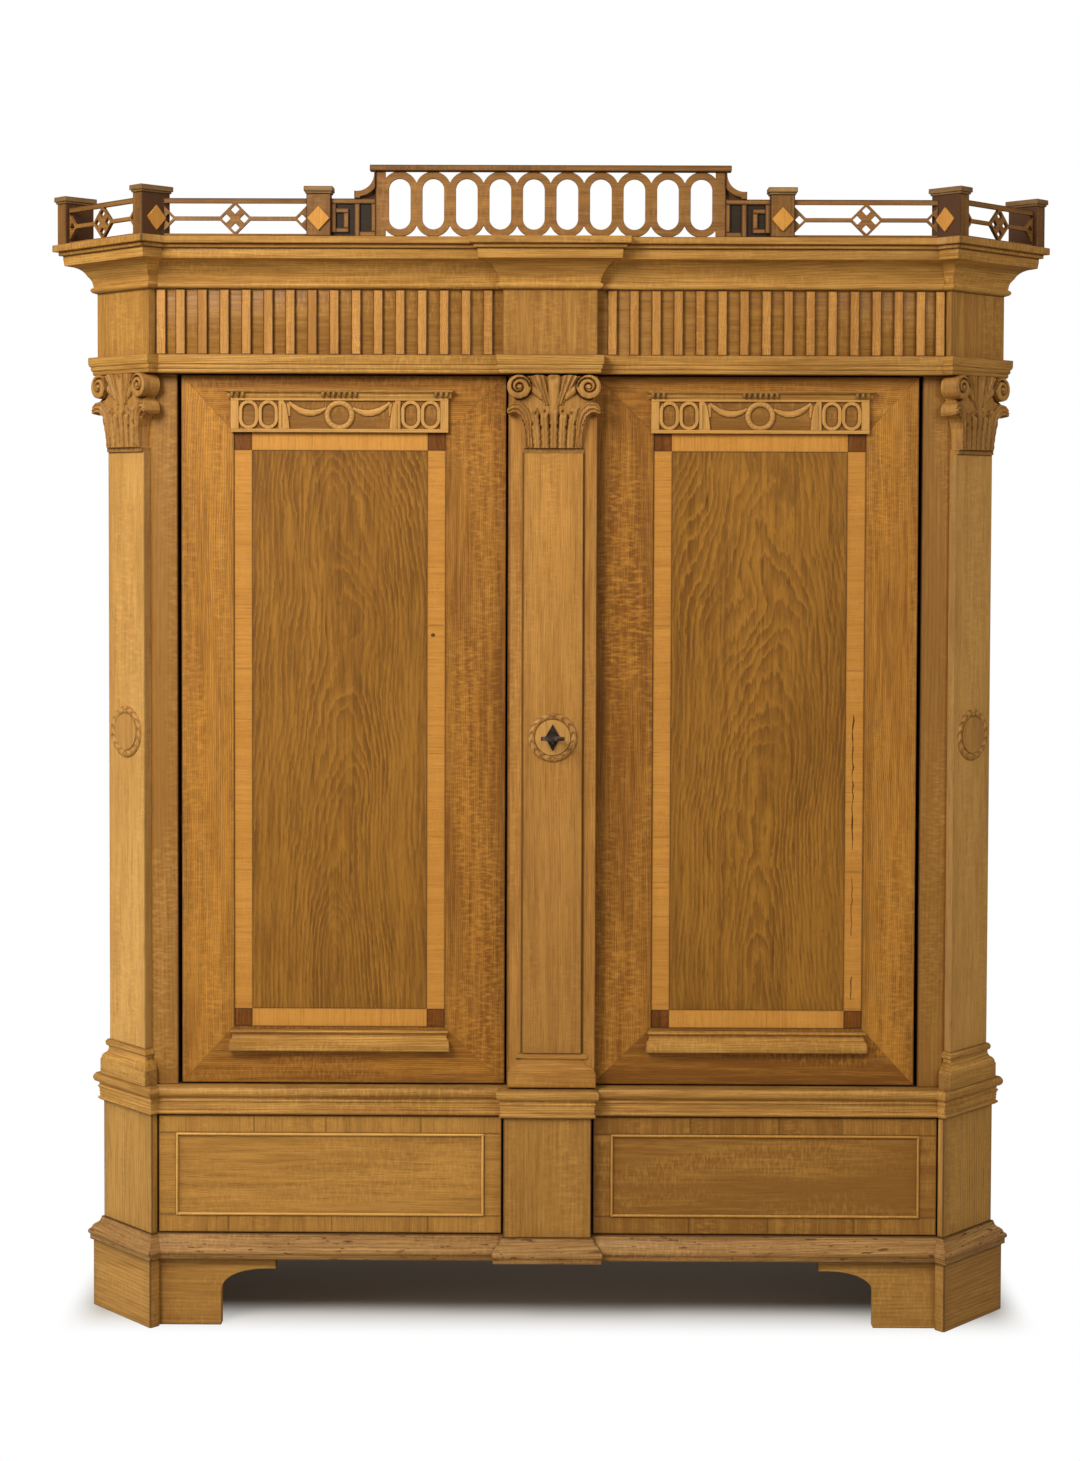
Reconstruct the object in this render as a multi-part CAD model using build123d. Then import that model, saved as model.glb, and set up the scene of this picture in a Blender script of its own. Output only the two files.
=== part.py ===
from build123d import *
import math
import os

# Two-door oak wardrobe with canted corners, a low base with two drawers and a fretwork gallery.
# Lengths are millimetres. While it is drawn, y = 0 is the line through the front arrises of the
# canted corner blocks and the front looks towards -y. Each piece is moved to its place when written.

# Plan of the carcass
corner_half_span = 805.0
cant_width = 171.0
body_depth = 580.0
run_setback = 10.0
door_setback = 24.0
centre_block_width = 178.0
centre_block_step = 21.0
ring_depth = 20.0
board = 20.0

# Heights from the floor upwards
foot_height = 139.0
plinth_moulding_height = 48.0
base_height = 245.0
waist_moulding_height = 58.0
door_zone_height = 1448.0
architrave_height = 37.0
frieze_height = 131.0
cornice_height = 78.0
top_board_thickness = 22.0
gallery_rail_top = 75.0
post_height = 84.0
cap_thickness = 14.0

# How far each moulding stands out
foot_projection = 16.0
bracket_projection = 7.0
plinth_projection = 24.0
waist_projection = 14.0
architrave_projection = 20.0
frieze_projection = 6.0
cornice_projection = 56.0
top_board_projection = 72.0
gallery_projection = 64.0

# General joinery
gap = 3.0
running_gap = 0.3
overrun = 1.0

plinth_bottom = foot_height
base_bottom = plinth_bottom + plinth_moulding_height
base_top = base_bottom + base_height
door_zone_bottom = base_top + waist_moulding_height
door_zone_top = door_zone_bottom + door_zone_height
architrave_top = door_zone_top + architrave_height
frieze_top = architrave_top + frieze_height
cornice_top = frieze_top + cornice_height
top_board_top = cornice_top + top_board_thickness

cant_reach = cant_width / math.sqrt(2)
tip_x = corner_half_span + cant_reach
tip_y = cant_reach
centre_half = centre_block_width / 2
inner_back_y = body_depth - board
front_y = -math.sqrt(2) * top_board_projection
middle_y = (front_y + body_depth) / 2

os.makedirs("parts", exist_ok=True)


def write(node, *solids):
    """Writes the solids of one node, moved so that the origin is under the middle of the body."""
    places = []
    for solid in solids:
        places += solid.solids()
    export_step(Pos(0, -middle_y, 0) * Compound(children=places), "parts/" + node + ".step")


def both_sides(*solids):
    """Returns each solid and its mirror image in the middle plane."""
    return list(solids) + [mirror(solid, about=Plane.YZ) for solid in solids]


def block(x_range, y_range, z_range):
    """Returns the box between the given ends on each axis."""
    size = [high - low for low, high in (x_range, y_range, z_range)]
    middle = [(high + low) / 2 for low, high in (x_range, y_range, z_range)]
    return Pos(*middle) * Box(*size)


def prism(points, z_low, z_high):
    """Returns a plan outline raised from one height to another."""
    face = make_face(Polyline(*[(x, y) for x, y in points], close=True))
    return Pos(0, 0, z_low) * extrude(face, z_high - z_low)


# Outline of the carcass at a projection p outside the base blocks, right half, from back to centre
def back_end(p):
    return tip_x - run_setback + p, body_depth


def side_corner(p):
    return tip_x - run_setback + p, tip_y + run_setback + (math.sqrt(2) - 1) * p


def tip(p):
    return tip_x + math.sqrt(2) * p, tip_y


def corner(p):
    return corner_half_span, -math.sqrt(2) * p


def step(p):
    return corner_half_span - run_setback - (math.sqrt(2) - 1) * p, run_setback - p


def notch(p):
    return centre_half + p, run_setback - p


def centre_corner(p):
    return centre_half + p, run_setback - centre_block_step - p


def left_of(point):
    """Returns the mirror image of one of the outline's points."""
    return lambda p: (-point(p)[0], point(p)[1])


side_run = [back_end, side_corner]
cant_run = [side_corner, tip, corner, step]
front_run = [step, notch]
centre_run = [notch, centre_corner, left_of(centre_corner), left_of(notch)]


def moulding_length(run, levels, depth=ring_depth):
    """Returns one mitred length of a moulding. levels are pairs of height and projection."""
    inner = [run[-1](-depth), run[0](-depth)]
    rows = [[(*point(p), z) for point in run] for z, p in levels]
    low = [(x, y, levels[0][0]) for x, y in inner]
    high = [(x, y, levels[-1][0]) for x, y in inner]
    outlines = [rows[0] + low, rows[-1] + high]
    outlines.append([row[-1] for row in rows] + [high[0], low[0]])
    outlines.append([row[0] for row in rows] + [high[1], low[1]])
    outlines.append([low[0], low[1], high[1], high[0]])
    for lower, upper in zip(rows, rows[1:]):
        for k in range(len(run) - 1):
            outlines.append([lower[k], lower[k + 1], upper[k + 1], upper[k]])
    wires = [Wire.make_polygon([Vector(*point) for point in outline]) for outline in outlines]
    return Solid(Shell([Face(wire) for wire in wires]))


def moulding_ring(levels, depth=ring_depth):
    """Returns the seven mitred lengths of a moulding that runs round the sides and the front."""
    lengths = []
    for run in (side_run, cant_run, front_run):
        lengths += both_sides(moulding_length(run, levels, depth))
    return lengths + [moulding_length(centre_run, levels, depth)]


def profile(bottom, height, projection, shares):
    """Returns levels from shares of a moulding's height and projection."""
    return [(bottom + height * z, projection * p) for z, p in shares]


def inner_board(z_low, z_high, back_y, p=-ring_depth):
    """Returns a board that fills the plan inside the mouldings."""
    right = [(side_corner(p)[0], back_y), side_corner(p), step(p)]
    left = [(-x, y) for x, y in reversed(right)]
    return prism(right + left, z_low, z_high)


# Base: canted foot blocks, rear blocks and bracket feet
rear_foot = 60.0
bracket_thickness = 24.0
bracket_reach = 240.0
bracket_foot_width = 128.0
bracket_upright = 67.0
apron_height = 23.0
bracket_arch_end = 220.0
arch_middle_share = (0.3, 0.75)


def bracket_face():
    """Returns the front view of one bracket foot, from x = 0 to its reach."""
    arch_start = (bracket_foot_width, bracket_upright)
    arch_end = (bracket_arch_end, foot_height - apron_height)
    middle = [a + (b - a) * k for a, b, k in zip(arch_start, arch_end, arch_middle_share)]
    corners = [(bracket_reach, arch_end[1]), (bracket_reach, foot_height), (0, foot_height), (0, 0)]
    edges = [Line((bracket_foot_width, 0), arch_start), ThreePointArc(arch_start, tuple(middle), arch_end)]
    edges += [Line(a, b) for a, b in zip([arch_end] + corners, corners + [(bracket_foot_width, 0)])]
    return make_face(Wire(edges))


def bracket_foot(start, direction):
    """Returns a bracket foot that starts at a plan point and runs along a plan direction."""
    upright = Plane(origin=(*start, 0), x_dir=(*direction, 0), z_dir=(direction[1], -direction[0], 0))
    return extrude(upright * bracket_face(), bracket_thickness)


def feet_blocks():
    levels = [(0, foot_projection), (foot_height, foot_projection)]
    outer_x = back_end(foot_projection)[0]
    rear = block((outer_x - rear_foot, outer_x), (body_depth - rear_foot, body_depth), (0, foot_height))
    return both_sides(moulding_length(cant_run, levels), rear)


def side_brackets():
    """Returns the side bracket feet. Each pair meets in the middle of the side."""
    outer_x, front_y_end = side_corner(bracket_projection)
    inner_x = outer_x - bracket_thickness
    rear_y_end = body_depth - rear_foot
    meeting = (front_y_end + rear_y_end) / 2
    front = bracket_foot((inner_x, front_y_end), (0, 1))
    front &= block((inner_x, outer_x), (front_y_end, meeting), (0, foot_height))
    rear = bracket_foot((outer_x, rear_y_end), (0, -1))
    rear &= block((inner_x, outer_x), (meeting, rear_y_end), (0, foot_height))
    return both_sides(front, rear)


write("feet_blocks", *feet_blocks())
write("front_bracket_feet", *both_sides(bracket_foot(step(bracket_projection), (-1, 0))))
write("side_bracket_feet", *side_brackets())

# Base: plinth moulding, boards and blocks
plinth_shares = [(0, 0.87), (0.24, 0.87), (0.26, 0.96), (0.32, 1), (0.4, 0.98), (0.46, 0.9), (0.5, 0.78)]
plinth_shares += [(0.62, 0.58), (0.76, 0.36), (0.86, 0.24), (0.94, 0.2), (1, 0.16)]
bottom_board_thickness = 18.0
divider_thickness = 24.0
plinth_levels = profile(plinth_bottom, plinth_moulding_height, plinth_projection, plinth_shares)
base_levels = [(base_bottom, 0), (base_top, 0)]
inner_half = tip_x - run_setback - ring_depth
divider_y = run_setback + ring_depth

write("plinth_moulding", *moulding_ring(plinth_levels))
write("base_bottom_board", inner_board(base_bottom - bottom_board_thickness, base_bottom, body_depth))
base_z = (base_bottom, base_top)
corner_blocks = both_sides(moulding_length(cant_run, base_levels))
write("base_blocks", *corner_blocks, moulding_length(centre_run, base_levels))
write("base_side_panels", *both_sides(moulding_length(side_run, base_levels)))
write("base_back_board", block((-inner_half, inner_half), (inner_back_y, body_depth), base_z))

# Waist moulding and floor of the upper part
waist_shares = [(0, 0.36), (0.03, 0.52), (0.1, 0.6), (0.17, 0.52), (0.2, 0.44), (0.52, 0.5), (0.54, 0.66)]
waist_shares += [(0.6, 0.72), (0.66, 0.66), (0.7, 0.7), (0.74, 0.9), (0.82, 1), (0.92, 1), (0.98, 0.92)]
waist_shares += [(1, 0.8)]
floor_thickness = 20.0
waist_levels = profile(base_top, waist_moulding_height, waist_projection, waist_shares)
pocket = 20.0
pilaster_x = 8.0
backing_half = 88.0
meeting_gap = 4.0
meeting_lap = 6.0
bolt_inset = 30.0
bolt_width = 12.0
bolt_thickness = 7.0
bolt_clearance = 1.0
door_thickness = 30.0
stile_back = door_setback + door_thickness
meeting_x = pilaster_x - backing_half - meeting_lap
left_meeting_edge = meeting_gap / 2 - meeting_x
right_meeting_edge = meeting_x + meeting_gap / 2
bolt_x = left_meeting_edge + bolt_inset
bolt_y = (stile_back + running_gap, stile_back + running_gap + bolt_thickness)


def bolt_pocket(z_low, z_high):
    """Returns the space that a door bolt enters in the floor or the ceiling."""
    half = bolt_width / 2 + bolt_clearance
    y_range = (bolt_y[0] - bolt_clearance, bolt_y[1] + bolt_clearance)
    return block((-bolt_x - half, -bolt_x + half), y_range, (z_low, z_high))


floor = inner_board(door_zone_bottom - floor_thickness, door_zone_bottom, inner_back_y)
floor -= bolt_pocket(door_zone_bottom - pocket - overrun, door_zone_bottom + overrun)
write("waist_moulding", *moulding_ring(waist_levels))
write("cabinet_floor", floor)

# Drawers: crossbanded front with a cock bead, dovetailed box, runners and guides
drawer_front_thickness = 22.0
drawer_side_gap = 3.0
drawer_end_gap = 5.0
drawer_band = 35.0
cock_bead = 5.0
cock_bead_stand = 4.0
drawer_side = 12.0
drawer_bottom = 8.0
drawer_box_inset = 20.0
drawer_box_drop = 40.0
drawer_depth = 430.0
drawer_lift = 8.0
runner_width = 18.0
guide_width = 10.0
guide_height = 30.0
guide_clearance = 1.5
drawer_x = (centre_half + drawer_end_gap, corner_half_span - run_setback - drawer_side_gap)
drawer_z = (base_bottom + gap, base_top - gap)
drawer_back_y = run_setback + drawer_front_thickness
box_x = (drawer_x[0] + drawer_box_inset, drawer_x[1] - drawer_box_inset)
box_z = (drawer_z[0] + drawer_lift, drawer_z[1] - drawer_box_drop)
box_end_y = drawer_back_y + drawer_depth


def inset(span, width):
    """Returns a span made shorter by the width at both ends."""
    return span[0] + width, span[1] - width


def upright_face(face, y_range):
    """Returns a front-view face made solid between two places in depth."""
    plane = Plane(origin=(0, y_range[1], 0), x_dir=(1, 0, 0), z_dir=(0, -1, 0))
    return extrude(plane * face, y_range[1] - y_range[0])


def bar(x_range, z_range):
    """Returns a rectangle in front view."""
    (x0, x1), (z0, z1) = x_range, z_range
    return make_face(Polyline((x0, z0), (x1, z0), (x1, z1), (x0, z1), close=True))


def diamond(x, z, half_width, half_height):
    """Returns a standing lozenge in front view."""
    points = [(x - half_width, z), (x, z - half_height), (x + half_width, z), (x, z + half_height)]
    return make_face(Polyline(*points, close=True))


def frame_lengths(outer, inner, y_range):
    """Returns the four mitred lengths between two upright rectangles, each given by its x and z spans."""
    corners = []
    for (x0, x1), (z0, z1) in (outer, inner):
        corners.append([(x0, z0), (x1, z0), (x1, z1), (x0, z1)])
    outside, inside = corners
    lengths = []
    for k in range(len(outside)):
        n = (k + 1) % len(outside)
        face = make_face(Polyline(outside[k], outside[n], inside[n], inside[k], close=True))
        lengths.append(upright_face(face, y_range))
    return lengths


def drawer_front():
    bead = (inset(drawer_x, drawer_band), inset(drawer_z, drawer_band))
    bead_inside = (inset(bead[0], cock_bead), inset(bead[1], cock_bead))
    front = block(drawer_x, (run_setback, drawer_back_y), drawer_z)
    return [front] + frame_lengths(bead, bead_inside, (run_setback - cock_bead_stand, run_setback))


def drawer_box():
    (x0, x1), (z0, z1) = box_x, box_z
    left = block((x0, x0 + drawer_side), (drawer_back_y, box_end_y), (z0, z1))
    right = block((x1 - drawer_side, x1), (drawer_back_y, box_end_y), (z0, z1))
    inner_x = (x0 + drawer_side, x1 - drawer_side)
    back = block(inner_x, (box_end_y - drawer_side, box_end_y), (z0, z1))
    bottom = block(inner_x, (drawer_back_y, box_end_y - drawer_side), (z0, z0 + drawer_bottom))
    return [left, right, back, bottom]


def drawer_runners():
    """Returns a runner under each side of the right drawer box and a guide beside it."""
    y_range = (drawer_back_y + gap, inner_back_y)
    runner_z = (base_bottom, box_z[0] - running_gap)
    guide_z = (base_bottom, box_z[0] + guide_height)
    pieces = []
    for x, outward in ((box_x[0], -1), (box_x[1], 1)):
        inside = x - outward * (runner_width - guide_clearance)
        edge = x + outward * guide_clearance
        pieces.append(block(sorted((inside, edge)), y_range, runner_z))
        pieces.append(block(sorted((edge, edge + outward * guide_width)), y_range, guide_z))
    return pieces


divider_half = divider_thickness / 2
divider = block((-divider_half, divider_half), (divider_y, inner_back_y), (base_bottom, base_top))
write("drawer_runners", divider, *both_sides(*drawer_runners()))
for side_name, mirrored in (("right", False), ("left", True)):
    for node, make in (("drawer_front", drawer_front), ("drawer_box", drawer_box)):
        pieces = [mirror(piece, about=Plane.YZ) if mirrored else piece for piece in make()]
        write(side_name + "_" + node, *pieces)

# Carcass corners: front stile and canted post behind each pilaster shaft
stile_width = 49.5
shaft_thickness = 18.0
shaft_half = 63.0
post_thickness = 28.0
post_line = corner_half_span - math.sqrt(2) * shaft_thickness
post_inner_line = post_line - math.sqrt(2) * post_thickness
side_x = tip_x - run_setback - (door_setback - run_setback)
door_zone = (door_zone_bottom, door_zone_top)
side_frame_y = side_x - post_inner_line
opening_half = post_line + door_setback - stile_width


def corner_posts():
    stile = [(opening_half, door_setback), (post_line + door_setback, door_setback)]
    stile += [(post_line + stile_back, stile_back), (opening_half, stile_back)]
    post = [(post_line + stile_back, stile_back), (side_x, side_x - post_line)]
    post += [(side_x, side_frame_y), (post_inner_line + stile_back, stile_back)]
    return both_sides(prism(stile, *door_zone), prism(post, *door_zone))


write("corner_posts", *corner_posts())

# Canted pilasters: all drawn flat at x = 0 with the face at y = 0, then turned onto the corner
capital_height = 158.0
pilaster_base_height = 73.0
base_spread = 17.0
base_stand = 12.0
base_shares = [(0, 1), (0.44, 1), (0.46, 0.9), (0.5, 0.88), (0.58, 0.5), (0.68, 0.22), (0.8, 0.12)]
base_shares += [(0.83, 0.3), (0.87, 0.4), (0.95, 0.4), (1, 0.28)]
cant_centre = (corner_half_span + cant_reach / 2, cant_reach / 2)
cant_plane = Plane(origin=(*cant_centre, 0), x_dir=(1, 1, 0), z_dir=(0, 0, 1))
capital_bottom = door_zone_top - capital_height
pilaster_base_top = door_zone_bottom + pilaster_base_height


def on_corners(*solids):
    """Returns flat-drawn solids turned onto the right and left canted corners."""
    return both_sides(*[cant_plane * solid for solid in solids])


def stacked(rows, back):
    """Returns a solid of ruled levels. Rows hold height, half width and front stand."""
    rings = [[(-w, back, z), (w, back, z), (w, -d, z), (-w, -d, z)] for z, w, d in rows]
    outlines = [rings[0], rings[-1]]
    for lower, upper in zip(rings, rings[1:]):
        for k in range(len(lower)):
            n = (k + 1) % len(lower)
            outlines.append([lower[k], lower[n], upper[n], upper[k]])
    wires = [Wire.make_polygon([Vector(*point) for point in outline]) for outline in outlines]
    return Solid(Shell([Face(wire) for wire in wires]))


def pilaster_base(half_width, spread, stand, back, z_range):
    """Returns the moulded base of a pilaster of the given half width."""
    z0, z1 = z_range
    rows = [(z0 + (z1 - z0) * z, half_width + spread * p, stand * p) for z, p in base_shares]
    return stacked(rows, back)


def capital(back, z_range):
    """Returns the main form of a carved capital: flaring bell and two volutes."""
    z0, z1 = z_range
    rows = [(z0 + (z1 - z0) * z, leaf_half * w, capital_stand * d) for z, w, d in bell_shares]
    solid = stacked(rows, back)
    for sign in (-1, 1):
        centre = (sign * (capital_half - volute_radius), z1 - volute_radius)
        solid += upright_face(Pos(*centre) * Circle(volute_radius), (-volute_stand, back))
    return solid


capital_half = 94.0
capital_stand = 20.0
volute_radius = 24.0
volute_stand = 24.0
leaf_half = 62.0
bell_shares = [(0, 1, 0.35), (0.06, 1, 0.5), (0.08, 0.98, 0.3), (0.35, 1.02, 0.5), (0.6, 1.12, 0.75)]
bell_shares += [(0.97, 1.2, 1)]
medallion_radius = 53.0
medallion_stand = 7.0
medallion_height = 1208.0

shaft = block((-shaft_half, shaft_half), (0, shaft_thickness), (pilaster_base_top, capital_bottom))
pilaster_base_z = (door_zone_bottom, pilaster_base_top)
corner_base = pilaster_base(shaft_half, base_spread, base_stand, shaft_thickness, pilaster_base_z)
medallion = upright_face(Pos(0, medallion_height) * Circle(medallion_radius), (-medallion_stand, 0))
write("corner_pilasters", *on_corners(shaft))
write("pilaster_bases", *on_corners(corner_base))
write("corner_capitals", *on_corners(capital(shaft_thickness, (capital_bottom, door_zone_top))))
write("corner_medallions", *on_corners(medallion))

# Sides, back, ceiling and shelves
side_stile = 80.0
side_rail = 100.0
side_field_set = 5.0
side_field_thickness = 12.0
plank_count = 6
ceiling_thickness = 20.0
shelf_thickness = 20.0
shelf_share = (0.36, 0.68)
batten = 22.0
shelf_front_set = 30.0
side_inner_x = side_x - board
side_zone_y = (side_frame_y, body_depth)


def side_frames():
    x_range = (side_inner_x, side_x)
    y0, y1 = side_zone_y
    z0, z1 = door_zone
    rail_y = (y0 + side_stile, y1 - side_stile)
    pieces = [block(x_range, y_range, door_zone) for y_range in ((y0, rail_y[0]), (rail_y[1], y1))]
    pieces += [block(x_range, rail_y, z_range) for z_range in ((z0, z0 + side_rail), (z1 - side_rail, z1))]
    return both_sides(*pieces)


def side_fields():
    x_range = (side_x - side_field_set - side_field_thickness, side_x - side_field_set)
    y_range = (side_zone_y[0] + side_stile, side_zone_y[1] - side_stile)
    return both_sides(block(x_range, y_range, (door_zone_bottom + side_rail, door_zone_top - side_rail)))


def back_boards():
    width = 2 * side_inner_x / plank_count
    planks = []
    for k in range(plank_count):
        x = -side_inner_x + k * width
        planks.append(block((x, x + width), (inner_back_y, body_depth), door_zone))
    return planks


def shelves():
    front = stile_back + shelf_front_set
    points = [(side_inner_x, inner_back_y), (side_inner_x, side_frame_y), (post_inner_line + front, front)]
    points += [(-x, y) for x, y in reversed(points)]
    heights = [door_zone_bottom + door_zone_height * share for share in shelf_share]
    boards = [prism(points, z, z + shelf_thickness) for z in heights]
    battens = []
    reach = side_inner_x - batten
    for z in heights:
        z_range = (z - batten, z)
        battens += both_sides(block((reach, side_inner_x), (side_frame_y, inner_back_y), z_range))
        battens.append(block((-reach, reach), (inner_back_y - batten, inner_back_y), z_range))
    return boards, battens


ceiling_top = door_zone_top + ceiling_thickness
ceiling = inner_board(door_zone_top, ceiling_top, inner_back_y)
ceiling -= bolt_pocket(door_zone_top - overrun, door_zone_top + pocket + overrun)
shelf_boards, shelf_battens = shelves()
write("side_frames", *side_frames())
write("side_fields", *side_fields())
upper_back = block((-inner_half, inner_half), (inner_back_y, body_depth), (door_zone_top, cornice_top))
write("back_boards", *back_boards(), upper_back)
write("ceiling_board", ceiling)
write("shelves", *shelf_boards)
write("shelf_battens", *shelf_battens)

# Doors: a mitred frame, a board with the figured sheet, crossbanding and corner squares
leaf_bottom_gap = 4.0
leaf_top_gap = 3.0
hinge_gap = 8.0
backing_lap = 4.0
hinge_stile_width = 107.0
meeting_stile_width = 123.0
top_rail_width = 115.0
bottom_rail_width = 116.0
band_width = 36.0
band_thickness = 3.0
band_set = 2.0
field_board_thickness = 16.0
pivot_inset = 15.0
pivot_radius = 6.0
pivot_fit = 0.06
pivot_length = 26.0
pivot_bore_depth = 28.0
pivot_plate_length = 40.0
pivot_plate_width = 24.0
key_height = 1206.0
key_radius = 4.0
key_fit = 0.06
keyhole_width = 4.0
keyhole_reach = 14.0
leaf_z = (door_zone_bottom + leaf_bottom_gap, door_zone_top - leaf_top_gap)
leaf_y = (door_setback, stile_back)
hinge_edge = opening_half - hinge_gap
pivot_x = hinge_edge - pivot_inset
pivot_y = door_setback + door_thickness / 2
field_x = (left_meeting_edge + meeting_stile_width, hinge_edge - hinge_stile_width)
field_z = (leaf_z[0] + bottom_rail_width, leaf_z[1] - top_rail_width)
field_centre = sum(field_x) / 2
band_y = (door_setback + band_set, door_setback + band_set + band_thickness)
board_end = pilaster_x + backing_half - backing_lap


def door_frame(meeting_edge):
    """Returns the mitred frame of a leaf hinged at the right, with bores for its two pivots."""
    lengths = frame_lengths(((meeting_edge, hinge_edge), leaf_z), (field_x, field_z), leaf_y)
    for end, inward in ((leaf_z[0], 1), (leaf_z[1], -1)):
        length = pivot_bore_depth + overrun
        place = Pos(pivot_x, pivot_y, end + inward * (pivot_bore_depth - overrun) / 2)
        lengths = [piece - place * Cylinder(pivot_radius + pivot_fit, length) for piece in lengths]
    return lengths


def door_banding():
    """Returns the four bands between the corner squares, and the squares."""
    sides = [(field_x[0], field_x[0] + band_width), (field_x[1] - band_width, field_x[1])]
    ends = [(field_z[0], field_z[0] + band_width), (field_z[1] - band_width, field_z[1])]
    pieces = [block(x_range, band_y, inset(field_z, band_width)) for x_range in sides]
    pieces += [block(inset(field_x, band_width), band_y, z_range) for z_range in ends]
    return pieces + [block(x_range, band_y, z_range) for x_range in sides for z_range in ends]


def door_field():
    """Returns the board behind the bands and the figured sheet between them."""
    board_y = (band_y[1], band_y[1] + field_board_thickness)
    sheet = block(inset(field_x, band_width), band_y, inset(field_z, band_width))
    return [block(field_x, board_y, field_z), sheet]


def keyhole(y_range, radius):
    """Returns the space of a keyhole: a round bore over a slot for the bit."""
    face = Circle(radius) + bar((-keyhole_width / 2, keyhole_width / 2), (-keyhole_reach, 0))
    return upright_face(Pos(pilaster_x, key_height) * face, inset(y_range, -overrun))


pilaster_board = block((right_meeting_edge, board_end), leaf_y, leaf_z)
pilaster_board -= keyhole(leaf_y, key_radius + key_fit)
write("left_door_frame", *[mirror(piece, about=Plane.YZ) for piece in door_frame(left_meeting_edge)])
write("right_door_frame", *door_frame(board_end), pilaster_board)
for side_name, mirrored in (("right", False), ("left", True)):
    for node, make in (("door_banding", door_banding), ("door_field", door_field)):
        pieces = [mirror(piece, about=Plane.YZ) if mirrored else piece for piece in make()]
        write(side_name + "_" + node, *pieces)

# Doors: pivots in the floor and the ceiling
bottom_plate_z = (door_zone_bottom, leaf_z[0] - running_gap)
top_plate_z = (leaf_z[1] + running_gap, door_zone_top)
pivots = []
for plate_z, pin_z in (
    (bottom_plate_z, (bottom_plate_z[0], bottom_plate_z[1] + pivot_length)),
    (top_plate_z, (top_plate_z[0] - pivot_length, top_plate_z[1])),
):
    plate_x = (pivot_x - pivot_plate_length / 2, pivot_x + pivot_plate_length / 2)
    plate = block(plate_x, (pivot_y - pivot_plate_width / 2, pivot_y + pivot_plate_width / 2), plate_z)
    pin = Pos(pivot_x, pivot_y, sum(pin_z) / 2) * Cylinder(pivot_radius, pin_z[1] - pin_z[0])
    pivots.append(plate + pin)
write("door_pivots", *both_sides(*pivots))

# Doors: fretted plaque with its small cornice over the field, and the sill under it
plaque_reach = 6.0
plaque_height = 69.0
plaque_thickness = 8.0
plaque_top_strip = 5.0
plaque_low_strip = 7.0
plaque_end_share = 0.927
plaque_oval_shares = (0.655, 0.836)
plaque_oval_half_share = 0.098
plaque_oval_stroke = 8.0
plaque_wreath_outer = 31.0
plaque_wreath_inner = 19.0
plaque_wreath_height = 34.0
plaque_bracket_shares = [(0.56, 0), (0.46, 0), (0.468, 0.46), (0.49, 0.75), (0.49, 1), (0.56, 1)]
swag_start_shares = [(0.5, 0.87), (0.518, 0.826)]
swag_middle_shares = [(0.305, 0.587), (0.309, 0.4)]
swag_end_shares = [(0.774, 0.516), (0.774, 0.258)]
plaque_half = (field_x[1] - field_x[0]) / 2 + plaque_reach
small_cornice_height = 17.0
small_cornice_reach = 1.0
small_cornice_spread = 9.0
small_cornice_stand = 16.0
small_cornice_shares = [(0, 0.5), (0.2, 0.5), (0.25, 0.6), (0.6, 0.7), (0.8, 0.95), (1, 1)]
sill_spread = 8.0
sill_stand = 16.0
sill_height = 42.0
sill_drop = 6.0
sill_shares = [(0, 1), (0.34, 1), (0.38, 0.9), (0.55, 0.8), (0.7, 0.45), (0.78, 0.2), (0.82, 0.2)]
sill_shares += [(0.84, 0.4), (1, 0.4)]


def profiled(half_width, spread, stand, z_range, shares):
    """Returns a moulding whose width and stand follow the shares upwards, with its back at y = 0."""
    z0, z1 = z_range
    return stacked([(z0 + (z1 - z0) * z, half_width + spread * p, stand * p) for z, p in shares], 0)


def swag_points():
    """Returns three points on the upper and on the lower edge of the left swag."""
    edges = []
    for start, middle, end in zip(swag_start_shares, swag_middle_shares, swag_end_shares):
        points = [(-plaque_half * x, plaque_height * z) for x, z in (start, middle)]
        end_x, end_z = [plaque_wreath_outer * share for share in end]
        edges.append(points + [(-end_x, plaque_wreath_height + end_z)])
    return edges


def plaque():
    """Returns the fretted plaque drawn about x = 0 with its bottom at z = 0."""
    face = bar((-plaque_half, plaque_half), (0, plaque_low_strip))
    face += bar((-plaque_half, plaque_half), (plaque_height - plaque_top_strip, plaque_height))
    left = bar((-plaque_half, -plaque_half * plaque_end_share), (0, plaque_height))
    bracket = [(-plaque_half * x, plaque_height * z) for x, z in plaque_bracket_shares]
    left += make_face(Polyline(*bracket, close=True))
    upper, lower = [ThreePointArc(*points) for points in swag_points()]
    left += make_face(Wire([upper, Line(upper @ 1, lower @ 1), lower, Line(lower @ 0, upper @ 0)]))
    oval_z = (plaque_low_strip + plaque_height - plaque_top_strip) / 2
    half_height = (plaque_height - plaque_low_strip - plaque_top_strip) / 2 + overrun
    half_width = plaque_half * plaque_oval_half_share
    holes = Pos(0, plaque_wreath_height) * Circle(plaque_wreath_inner)
    for x in [plaque_half * share for share in plaque_oval_shares]:
        left += Pos(-x, oval_z) * Ellipse(half_width, half_height)
        hole = Ellipse(half_width - plaque_oval_stroke, half_height - plaque_oval_stroke)
        holes += Pos(-x, oval_z) * hole + Pos(x, oval_z) * hole
    face += left + mirror(left, about=Plane.YZ) + Pos(0, plaque_wreath_height) * Circle(plaque_wreath_outer)
    return (face - holes).faces()[0]


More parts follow.
